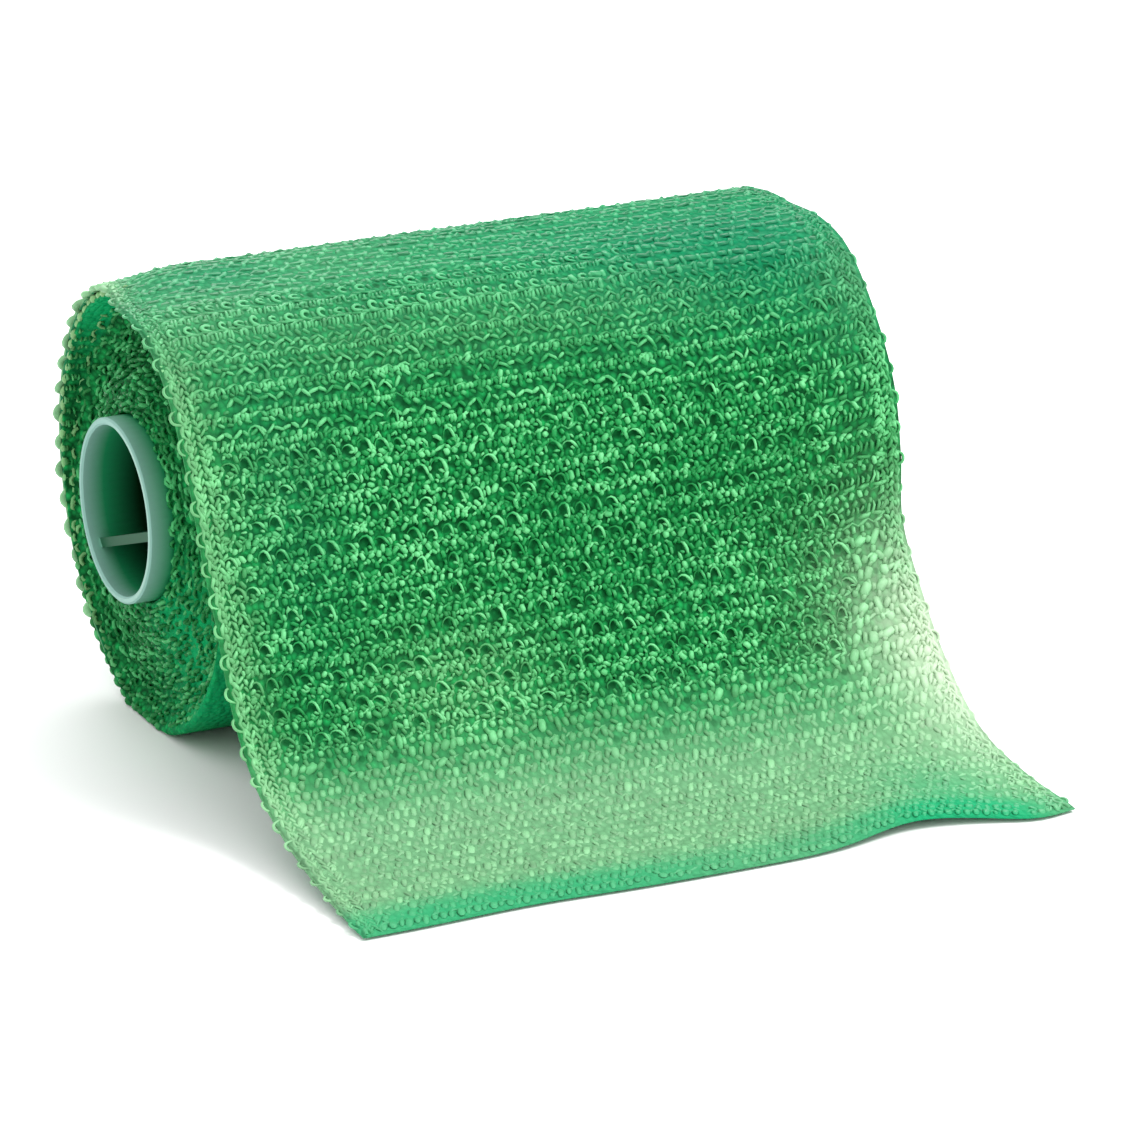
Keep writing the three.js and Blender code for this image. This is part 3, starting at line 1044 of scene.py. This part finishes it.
def wandering(along, share):
    # rows and wales are never quite straight, and the rows rise towards the right edge
    x = share * tapeWidth
    drift = np.sin(x / 15 + along / 23) + 0.35 * np.sin(x / 5.1 - along / 9 + 1)
    uneven = stitching["courseUnevenness"] * np.sin(along * 1.9 + 0.4 * np.sin(x / 30))
    drift = drift * stitching["wander"] + uneven
    rise = stitching["bendAtRight"] * ease(x, 80, 104) * ease(along, 96, 106)
    sway = np.sin(along / 7.3 + x / 21) + 0.6 * np.sin(along / 3.9 - x / 8 + 1)
    calm = ease(looseLength - along, 0, 16) * ease(along, 0, 6)
    return along + (drift - rise) * calm, share + stitching["wander"] * 0.4 * sway * calm / tapeWidth


def cellPlace(along, share):
    # where a place is in the grid of knit cells, counted in cells
    lengths, shares = looseCells()
    moved, swayed = wandering(along, share)
    wales = (2 * share - swayed - shares[0]) / (shares[1] - shares[0]) + 0.5
    courses = (2 * along - moved - lengths[0]) / (lengths[1] - lengths[0]) + 0.5
    return np.stack([wales, courses, np.zeros(wales.shape)], axis=-1)


def knitCells():
    # the knit cells, the zone that each is in, and whether it has an arch
    along, share = (grid.ravel() for grid in np.meshgrid(*looseCells(), indexing="ij"))
    x = share * tapeWidth
    random = np.random.default_rng(arch["seed"])
    ragged = 2 * random.random(len(along)) - 1
    limits = zoneLimits
    marks = along < limits["marksUntil"]
    atRight = x > limits["farRightFrom"] + 8 * ragged
    zone = np.full(len(along), "front")
    zone[along + 2 * ragged < limits["rowsUntil"]] = "rows"
    zone[marks] = "marks"
    zone[(along < limits["farUntil"]) | (marks & atRight)] = "far"
    zone[along + 2 * ragged > limits["footFrom"]] = "foot"
    zone[(x > limits["rightFrom"] + ragged) & ~marks & (along < limits["rightUntil"])] = "right"
    low, high = limits["plumpReach"]
    slanted = x + 0.5 * (along - 150) > limits["plumpFrom"] + ragged
    zone[slanted & (along > low) & (along < high)] = "plump"
    archShare = np.zeros(len(along))
    for name, common in stitching["archShare"].items():
        archShare[zone == name] = common
    return along, share, zone, random.random(len(along)) < archShare


def stitchesInCells():
    # along, share, number of the shape, lean, longer, plumper and glint of each stitch
    along, share, zone, arched = knitCells()
    groups = [(zone == name, stitches) for name, stitches in zoneStitches.items()]
    groups.append((~arched & (zone == "front"), archlessStitches))
    found = []
    for here, stitches in groups:
        for shape, across, headward, *traits in stitches:
            spots = [along[here] - headward, share[here] + across / tapeWidth]
            own = np.array([list(stitchShapes).index(shape), *traits], float)
            found.append(np.vstack([spots, np.tile(own[:, None], (1, here.sum()))]))
    return np.concatenate(found, axis=1)


def growStitches(name, shape, placed, tint, seed, lean=0.0):
    # stitches of one shape, each turned from the head by its lean
    place, alongAxis, acrossAxis, outAxis = placed
    lean = np.broadcast_to(lean, len(place))[:, None]
    headAxis = -alongAxis * np.cos(lean) - acrossAxis * np.sin(lean)
    return growLoops(name, shape, (place, outAxis, headAxis), tint, seed, yarnMaterial)


def makeLooseStitches():
    along, share, number, lean, longer, plumper, glint = stitchesInCells()
    along, share = wandering(along, share)
    along = np.clip(along, 0.4, looseLength - 0.5)
    random = np.random.default_rng(stitching["seed"])
    calm = clothTint(along, share)["relief"] ** 2
    spread = np.array([stitching["leanSpread"][kind] for kind in stitchShapes])[number.astype(int)]
    lean = lean + spread * calm * random.normal(size=len(along))
    kept = random.random(len(along)) > stitching["leftOut"]
    pieces = []
    for order, (kind, shape) in enumerate(stitchShapes.items()):
        for zone, (low, high) in stitching["pieces"].items():
            here = kept & (number == order) & (along >= low) & (along < high)
            if not here.any():
                continue
            tint = clothTint(along[here], share[here])
            tint.update({"glint": glint[here], "longer": longer[here], "plumper": plumper[here]})
            placed = looseFrame(along[here], share[here], shape["depth"])
            seed = 11 + 10 * len(pieces)
            pieces.append(growStitches(kind + zone, shape, placed, tint, seed, lean[here]))
    return pieces


def makeLooseArches():
    along, share, _, arched = knitCells()
    along, share = wandering(along[arched], share[arched])
    tint = {**clothTint(along, share), "plumper": np.full(len(along), stitching["archSize"])}
    return growStitches("arches", arch, looseFrame(along, share, arch["depth"]), tint, 81)


# The inlaid yarns, which run across the tape between the loops
inlay = {
    "radius": 0.25,
    "sides": 4,
    "waveOut": 0.14,
    "waveAlong": 0.40,
    "beading": 0.25,
    "shake": (0.06, 0.10, 0.08),
    "pointsPerWale": 3,
    "depth": 0.40,
    "lowDepth": 0.16,
    "behindHead": 0.98,
}


def makeLooseInlay():
    lengths, shares = looseCells()
    perRow = len(shares) * inlay["pointsPerWale"] + 1
    margin = knit["edgeMargin"] * 0.5 / tapeWidth
    lengths = lengths + inlay["behindHead"]
    lengths = lengths[lengths < looseLength - 0.5]
    along, share = np.meshgrid(lengths, np.linspace(margin, 1 - margin, perRow), indexing="ij")
    along, share = wandering(along.ravel(), share.ravel())
    along = np.minimum(along, looseLength - 0.4)
    depth = inlay["depth"] + inlay["lowDepth"] * ease(along, 100, 118)
    place, alongAxis, _, outAxis = looseFrame(along, share, depth[:, None])
    phase = np.tile(np.arange(perRow) * 2 * math.pi / inlay["pointsPerWale"], len(lengths))
    placed = (place, outAxis, -alongAxis)
    return growCords("inlayYarns", inlay, placed, len(lengths), phase, clothTint(along, share), 71)


# The selvedge: picot loops with a hole in each, and the edge yarns that they spring from
picotShake = {
    "placeShake": (0.12, 0.12, 0.08),
    "turnShake": (0.2, 0.3, 0.15),
    "sizeShake": (0.15, 0.12, 0.1),
}
picot = {
    "points": (
        (-0.7, -1.15, -0.1, 0.9),
        (-0.05, -0.92, 0.0, 1.0),
        (0.48, -0.60, 0.05, 1.05),
        (0.66, 0.0, 0.05, 1.15),
        (0.48, 0.60, 0.05, 1.05),
        (-0.05, 0.92, 0.0, 1.0),
        (-0.7, 1.15, -0.1, 0.9),
    ),
    "radius": 0.19,
    "sides": 6,
    "step": 0.4,
    **picotShake,
}
# where the edge is drawn in tight, a picot has closed to a plump scallop
tightPicot = {
    "points": (
        (-0.6, -1.20, -0.1, 0.7),
        (0.1, -0.86, 0.0, 0.95),
        (0.50, 0.0, 0.0, 1.15),
        (0.1, 0.86, 0.0, 0.95),
        (-0.6, 1.20, -0.1, 0.7),
    ),
    "radius": 0.5,
    "sides": 6,
    "step": 0.4,
    **picotShake,
}
edgeYarn = {
    "radius": 0.27,
    "sides": 5,
    "waveOut": 0.14,
    "waveAlong": 0.22,
    "beading": 0.25,
    "shake": (0.08, 0.08, 0.08),
    "step": 0.7,
}
selvedge = {
    "depth": 0.55,
    "tightUntil": 76.0,
    "leftInset": 0.2,
    "rightInset": 0.55,
    "yarnInsets": (0.75, 1.4),
    "dashInsets": (1.05, 1.75, 2.45, 3.2),
    "dashLeans": (0.5, -0.6),
    "dashPitch": 1.05,
    # the beads on the inner face of the edge, where it stands clear of the roll
    "beadInsets": (0.55, 1.9),
    "beadPitch": 1.9,
    "beadSunk": 0.2,
    "beadUntil": 104.0,
}


def edgeShare(side, inset=0.0):
    # the share of the tape's width at an inset from its left edge, side -1, or its right edge, side 1
    return abs(max(side, 0.0) - inset / tapeWidth)


def makePicots(name, side, lengths, loop, seed):
    place, _, acrossAxis, outAxis = looseFrame(lengths, edgeShare(side), selvedge["depth"])
    outward = acrossAxis * side
    place = place - outward * selvedge["rightInset" if side > 0 else "leftInset"]
    tint = clothTint(lengths, np.full(len(lengths), edgeShare(side)))
    tint["relief"] = np.maximum(tint["relief"], 0.8)
    return growLoops(name, loop, (place, outAxis, np.cross(outAxis, outward)), tint, seed, yarnMaterial)


def makeEdgeYarns(name, side, seed):
    # the yarns that the picots spring from
    along = np.arange(1.0, looseLength - 0.4, edgeYarn["step"])
    place, _, acrossAxis, outAxis = looseFrame(along, edgeShare(side), selvedge["depth"] - 0.1)
    outward = acrossAxis * side
    insets = selvedge["yarnInsets"]
    places = np.concatenate([place - outward * inset for inset in insets])
    turns = along * 4 * math.pi / knit["coursePitch"]
    phase = np.concatenate([turns, turns + math.pi])
    tint = clothTint(np.tile(along, len(insets)), np.full(len(places), edgeShare(side)))
    placed = (places, np.tile(outAxis, (len(insets), 1)), np.tile(outward, (len(insets), 1)))
    return growCords(name, edgeYarn, placed, len(insets), phase, tint, seed)


def makeEdgeDashes(name, side, seed):
    # the close slanted stitches of the margin
    rows = []
    for number, inset in enumerate(selvedge["dashInsets"]):
        lengths = np.arange(1.2 + 0.4 * number, looseLength - 0.8, selvedge["dashPitch"])
        lean = selvedge["dashLeans"][number % 2]
        rows.append([lengths, np.full(len(lengths), inset), np.full(len(lengths), lean)])
    along, inset, lean = np.concatenate(rows, axis=1)
    share = edgeShare(side, inset)
    placed = looseFrame(along, share, stroke["depth"])
    return growStitches(name, stroke, placed, clothTint(along, share), seed, lean)


def makeInnerBeads(name, side, seed):
    lengths = np.arange(1.0, selvedge["beadUntil"], selvedge["beadPitch"])
    along, inset = (grid.ravel() for grid in np.meshgrid(lengths, selvedge["beadInsets"], indexing="ij"))
    share = edgeShare(side, inset)
    place, alongAxis, acrossAxis, outAxis = looseFrame(along, share, clothInside - selvedge["beadSunk"])
    tint = clothTint(along, share)
    # painted light: the left side's beads are pale, the right side's are not
    tint["pale"] = np.full(len(along), 0.8 if side < 0 else 0.0)
    tint["shadeAndLightThrough"] = tint["haze"] = np.zeros(len(along))
    return growStitches(name, dot, (place, alongAxis, acrossAxis, -outAxis), tint, seed)


def makeSelvedge(name, side, seed):
    lengths = looseCells()[0]
    tight, loose = lengths[lengths < selvedge["tightUntil"]], lengths[lengths >= selvedge["tightUntil"]]
    return [
        makePicots(name + "Picots", side, loose, picot, seed),
        makePicots(name + "TightPicots", side, tight, tightPicot, seed + 2),
        makeEdgeYarns(name + "Yarns", side, seed + 5),
        makeEdgeDashes(name + "Dashes", side, seed + 9),
        makeInnerBeads(name + "InnerBeads", side, seed + 13),
    ]


# The wound body: its outside, and both dished faces with a step at each turn
woundLook = {
    "surfaceDrop": 0.35,
    "curlDrop": 1.3,
    "grooveDepth": 0.2,
    "stepsPerTurn": 4,
    "stepsRound": 180,
    "stepsAcross": 24,
    "wallShare": 0.955,
    "backWallDepth": 4.0,
    "backWallAngle": math.radians(62),
    "backWallSpread": math.radians(55),
    "hazeAngle": math.radians(290),
    "hazeSpread": math.radians(38),
    "hazeStrength": 0.75,
    # bright where light comes through the outermost turns: in a wedge below, and on the back wall
    "wedgeAngle": math.radians(225),
    "wedgeSpread": math.radians(30),
    "wedgeStrength": 0.75,
    "litWallAngle": math.radians(57),
    "litWallSpread": math.radians(23),
    "knitDepth": 0.45,
}
wallDash = {
    "points": dot["points"],
    "radius": 0.23,
    "sides": 5,
    "step": 0.3,
    "placeShake": (0.15, 0.3, 0.12),
    "turnShake": (0.2, 0.2, 0.3),
    "sizeShake": (0.25, 0.25, 0.2),
    "from": math.radians(-75),
    "to": math.radians(100),
    "pitch": 0.062,
    "rows": 5,
}
turnEdge = {
    "points": (
        (-0.5, -0.66, 0.0, 0.9),
        (-0.12, -0.48, 0.05, 1.2),
        (0.12, -0.20, 0.1, 1.45),
        (0.14, 0.16, 0.1, 1.45),
        (-0.08, 0.46, 0.05, 1.2),
        (-0.45, 0.66, 0.0, 0.9),
    ),
    "radius": 0.23,
    "sides": 4,
    "step": 0.4,
    "placeShake": (0.3, 0.4, 0.4),
    "turnShake": (0.4, 0.4, 0.8),
    "sizeShake": (0.3, 0.3, 0.2),
    "rise": -0.05,
    "lowest": 0.9,
    "spacing": 1.35,
    "untilShare": 0.972,
}
rimScallop = {
    "points": tightPicot["points"],
    "radius": 0.46,
    "sides": 7,
    "step": 0.35,
    "placeShake": (0.15, 0.15, 0.1),
    "turnShake": (0.12, 0.12, 0.12),
    "sizeShake": (0.1, 0.15, 0.1),
    "from": math.radians(-98),
    "to": math.radians(96),
    "rise": -0.45,
    "lowest": 0.6,
    "spacing": 2.1,
    "share": 0.985,
    "plumper": -0.2,
}


def backTurn(angle):
    # the angle round the axis, from -90 degrees below the roll, up its back to 270 degrees
    return np.mod(angle + math.pi / 2, 2 * math.pi) - math.pi / 2


def endInset(angle, share, atRight):
    # how far a dished face lies inside the tape's edge, with a wall under the outermost turns
    inset = np.interp(share, windForm["shares"], windForm["rightInset" if atRight else "leftInset"])
    wall = bell(backTurn(angle), woundLook["backWallAngle"], woundLook["backWallSpread"])
    wall = woundLook["backWallDepth"] * wall
    inner = 1 - ease(share, woundLook["wallShare"] - 0.015, woundLook["wallShare"])
    return inset + wall * inner * ease(share, 0.2, 0.6)


def facePlace(angle, share, atRight, rise=0.0):
    # a place on a dished face, by the angle round the axis and the share of the way out to the rim
    bore = windForm["boreRadius"] * np.stack([np.cos(angle), np.sin(angle)], axis=-1) + [0, axisZ]
    curl = 0.0 if atRight else bell(angle, looseForm["curlMiddle"], 1.2 * looseForm["curlSpread"])
    rim = ovalPoint(angle, -woundLook["surfaceDrop"] - woundLook["curlDrop"] * curl)
    flat = bore + (rim - bore) * share[..., None]
    inset = endInset(angle, share, atRight) - rise
    x = rightEdge - inset if atRight else leftEdge + inset
    return np.stack([x, axisY + flat[..., 0], np.maximum(flat[..., 1], 0.3)], axis=-1)


def faceAround(angle, share, atRight):
    # the direction round the axis at places on a dished face
    step = 0.01
    return unit(facePlace(angle + step, share, atRight) - facePlace(angle - step, share, atRight))


def evenAngles(fine, share, atRight, spacing):
    # angles round the axis at an even spacing along a line on a dished face
    lengths = lengthsAlong(facePlace(fine, share, atRight))
    return np.interp(np.arange(0, lengths[-1], spacing), lengths, fine)


def faceFrame(angle, share, atRight, loop):
    # places on a dished face, with the ways out of the roll and round it that a loop there is stood by
    place = facePlace(angle, share, atRight, loop["rise"])
    place[:, 2] = np.maximum(place[:, 2], loop["lowest"])
    outAxis = unit(np.cross(faceAround(angle, share, atRight), [1.0, 0.0, 0.0]))
    side = np.tile([1.0 if atRight else -1.0, 0.0, 0.0], (len(angle), 1))
    return place, outAxis, np.cross(outAxis, side)


def bodyHaze(angle):
    # below the roll, the wound body is as hazy as the loose turn that is tucked under it
    near = bell(np.mod(angle, 2 * math.pi), woundLook["hazeAngle"], woundLook["hazeSpread"])
    return woundLook["hazeStrength"] * near


def makeBody():
    angles = np.linspace(0, 2 * math.pi, woundLook["stepsRound"] + 1)[:-1]
    shares = np.linspace(0, 1, windForm["turns"] * woundLook["stepsPerTurn"] + 1)
    angleGrid, shareGrid = np.meshgrid(angles, shares, indexing="ij")
    turn = shareGrid * windForm["turns"] - angleGrid / (2 * math.pi)
    groove = woundLook["grooveDepth"] * (0.5 - 0.5 * np.cos(2 * math.pi * turn))
    groove = groove * (1 - ease(shareGrid, 0.9, 0.94))
    left = facePlace(angleGrid, shareGrid, False, -groove)
    right = facePlace(angleGrid, shareGrid, True, -groove)
    across = np.linspace(0, 1, woundLook["stepsAcross"] + 1)[1:-1]
    outside = left[:, -1:, :] + (right[:, -1:, :] - left[:, -1:, :]) * across[None, :, None]
    rings = np.concatenate([left, outside, right[:, ::-1]], axis=1)
    rows, columns, _ = rings.shape
    faces = gridFaces(rows, columns, closeRows=True)
    for start in range(0, rows * columns, columns):
        following = (start + columns) % (rows * columns)
        faces.append([start + columns - 1, following + columns - 1, following, start])
    wedge = bell(angles, woundLook["wedgeAngle"], woundLook["wedgeSpread"])[:, None]
    shadeAndLightThrough = woundLook["wedgeStrength"] * wedge * bell(rings[..., 0], leftEdge + 8, 9)
    wall = bell(backTurn(angles), woundLook["litWallAngle"], woundLook["litWallSpread"])[:, None]
    wall = wall * bell(shares, woundLook["wallShare"] - 0.012, 0.03)
    shadeAndLightThrough[:, : len(shares)] += wall
    shadeAndLightThrough[:, columns - len(shares) :] += wall[:, ::-1]
    haze = np.zeros((rows, columns))
    haze[:, len(shares) : columns - len(shares)] = bodyHaze(angles)[:, None]
    threads = rings.reshape(-1, 3) / gapLook["threadPitch"][0]
    tint = {"shadeAndLightThrough": np.clip(shadeAndLightThrough, 0, 1), "haze": haze}
    body = makeObject("woundBody", rings, faces, attributes=tint, vectors={"threadPlace": threads})
    finishCloth(body, bodyMaterial)
    return body


def makeWallDashes(name, atRight, seed):
    # the wall that the outermost turns make round a dished face shows its stitches as dashes
    angles = np.arange(wallDash["from"], wallDash["to"], wallDash["pitch"])
    rows = (np.arange(wallDash["rows"]) + 0.5) / wallDash["rows"]
    angle, row = (grid.ravel() for grid in np.meshgrid(angles, rows, indexing="ij"))
    share = np.full(len(angle), woundLook["wallShare"])
    outer, inner = endInset(angle, share + 0.005, atRight), endInset(angle, share - 0.03, atRight)
    kept = (inner - outer > 1.2) & ~((angle > math.radians(40)) & (row < 0.75))
    angle, row, outer, inner, share = (values[kept] for values in (angle, row, outer, inner, share))
    place = facePlace(angle, share - 0.008, atRight)
    inset = outer + (inner - outer) * row
    place[:, 0] = rightEdge - inset if atRight else leftEdge + inset
    around = faceAround(angle, share, atRight)
    around[:, 0] = 0
    outAxis = unit(np.cross([1.0, 0.0, 0.0], around))
    # painted light: the dashes nearest the wall's outer edge are paler
    tint = {"pale": 0.25 * bell(row, 0, 0.4), "relief": np.ones(len(angle))}
    return growLoops(name, wallDash, (place, outAxis, around), tint, seed, shadedTurnMaterial)


def makeTurnEdges(name, atRight, seed):
    # the selvedge loops of the wound turns, along the spiral of the tape's edge
    total = 2 * math.pi * windForm["turns"]
    fine = np.linspace(0.4 * math.pi, total - 0.2, 6000)
    angle = evenAngles(fine, fine / total, atRight, turnEdge["spacing"])
    angle = angle[angle / total < turnEdge["untilShare"]]
    share = angle / total
    # painted light: the turn edges are paler along the back of the rim
    backRim = ease(share, 0.86, 0.97) * (1 - ease(np.abs(np.sin(angle / 2 - 0.3)), 0.5, 0.9))
    tint = {"pale": 0.7 * backRim, "relief": np.ones(len(angle))}
    placed = faceFrame(angle, share, atRight, turnEdge)
    return growLoops(name, turnEdge, placed, tint, seed, shadedTurnMaterial)


def makeRimScallops(name, atRight, seed):
    # plump scallops of the outermost wound turn, from the bottom up the back to the top
    fine = np.linspace(rimScallop["from"], rimScallop["to"], 2000)
    angle = evenAngles(fine, np.ones(len(fine)), atRight, rimScallop["spacing"])
    share = np.full(len(angle), rimScallop["share"])
    # painted light: the scallops are paler towards the top
    tint = {"pale": 0.75 * ease(np.sin(angle), -0.9, 0.2), "relief": np.ones(len(angle))}
    tint["plumper"] = np.full(len(angle), rimScallop["plumper"])
    placed = faceFrame(angle, share, atRight, rimScallop)
    return growLoops(name, rimScallop, placed, tint, seed, shadedTurnMaterial)


def bodyFrame(angle, share, depth):
    step = 0.01
    around = ovalPoint(angle + step, -depth) - ovalPoint(angle - step, -depth)
    flat = ovalPoint(angle, -depth)
    low = leftEdge + windForm["leftInset"][-1]
    high = rightEdge - windForm["rightInset"][-1]
    x = low + (high - low) * share
    place = np.stack([x, axisY + flat[:, 0], np.maximum(flat[:, 1], depth)], axis=-1)
    alongAxis = unit(np.stack([np.zeros(len(angle)), around[:, 0], around[:, 1]], axis=-1))
    acrossAxis = np.tile([1.0, 0.0, 0.0], (len(angle), 1))
    return place, alongAxis, acrossAxis, np.cross(alongAxis, acrossAxis)


def makeBodyKnit():
    # the turn under the loose one, from the top round the front and the bottom
    angles = np.linspace(looseForm["turnEnd"], looseForm["turnStart"] + 2 * math.pi, 400)
    lengths = lengthsAlong(ovalPoint(angles, 0))
    pitch = knit["coursePitch"] / 2
    courses = 2 * int(lengths[-1] / knit["coursePitch"])
    middles = np.interp(np.arange(0.5, courses) * pitch, lengths, angles)
    angle, share = (grid.ravel() for grid in np.meshgrid(middles, looseCells()[1], indexing="ij"))
    bare = (share < 0.16) & (np.abs(angle - math.radians(228)) < math.radians(38))
    bare = bare | ((share < 0.1) & (angle < math.radians(125)))
    angle, share = angle[~bare], share[~bare]
    # painted shade: a deeper green along the left edge, under the overhanging loose turn
    tint = {"shadeAndLightThrough": 0.3 * bell(share, 0, 0.15), "haze": bodyHaze(angle)}
    tint["relief"] = np.full(len(angle), 0.45)
    tint["plumper"] = np.full(len(angle), 0.2)
    return growStitches("bodyKnit", dot, bodyFrame(angle, share, woundLook["knitDepth"]), tint, 61)


looseCloth = makeLooseCloth()
knitPieces = makeLooseStitches() + [makeLooseArches(), makeLooseInlay()]
knitPieces += makeSelvedge("left", -1, 101) + makeSelvedge("right", 1, 121)
print("loose turn knitted")
body = makeBody()
woundPieces = [
    body,
    makeBodyKnit(),
    makeTurnEdges("leftTurnEdges", False, 141),
    makeTurnEdges("rightTurnEdges", True, 161),
    makeWallDashes("leftWallDashes", False, 181),
    makeWallDashes("rightWallDashes", True, 191),
    makeRimScallops("leftScallops", False, 201),
    makeRimScallops("rightScallops", True, 211),
]
print("wound turns made")

for piece in [looseCloth] + woundPieces + knitPieces:
    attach(piece, "root")
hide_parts("tape")
dress(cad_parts["core"], coreMaterial)

# The floor, the light and the camera
stageLook = {
    "floorSize": 6.0,
    "floorColour": (0.93, 0.93, 0.93, 1),
    "roughness": 0.6,
    "worldStrength": 1.25,
    # the name of each light, its place, its width and height in metres, and its power in watts
    "lights": (
        ("keyLight", (0.45, -0.25, 0.85), (0.4, 0.4), 6.0),
        ("backLight", (0.25, 0.75, 0.6), (0.7, 0.4), 3.9),
    ),
    "lightAim": (0, 0, 0.03),
    "cameraPlace": (-0.367176, -0.769763, 0.324959),
    "cameraElevation": math.radians(19.41),
    "cameraTurn": math.radians(-25.724),
    "sensorWidth": 36.0,
    "lens": 217.25,
}


def makeFloor():
    half = stageLook["floorSize"] / 2 / mm
    corners = [(-half, -half, 0), (half, -half, 0), (half, half, 0), (-half, half, 0)]
    floor = makeObject("floor", corners, [[0, 1, 2, 3]])
    material, _, shader = newMaterial("paleFloor", stageLook)
    shader["Base Color"].default_value = stageLook["floorColour"]
    dress(floor, material)


def makeLight(name, place, size, power):
    data = bpy.data.lights.new(name, "AREA")
    data.shape = "RECTANGLE"
    data.size, data.size_y = size
    data.energy = power
    light = linked(name, data)
    light.location = place
    x, y, z = np.array(stageLook["lightAim"]) - np.array(place)
    light.rotation_euler = (math.atan2(math.hypot(x, y), -z), 0, math.atan2(-x, y))


def makeCamera():
    camera = linked("camera", bpy.data.cameras.new("camera"))
    camera.location = stageLook["cameraPlace"]
    camera.rotation_euler = (math.pi / 2 - stageLook["cameraElevation"], 0, stageLook["cameraTurn"])
    camera.data.sensor_width = stageLook["sensorWidth"]
    camera.data.lens = stageLook["lens"]
    camera.data.clip_start = 0.01
    camera.data.clip_end = 20.0
    bpy.context.scene.camera = camera


def makeWorld():
    world = bpy.data.worlds.new("softWhite")
    world.use_nodes = True
    background = world.node_tree.nodes["Background"].inputs
    background["Color"].default_value = (1, 1, 1, 1)
    background["Strength"].default_value = stageLook["worldStrength"]
    bpy.context.scene.world = world


makeFloor()
makeWorld()
for light in stageLook["lights"]:
    makeLight(*light)
makeCamera()
bpy.context.scene.view_settings.view_transform = "Standard"
print("stage made")
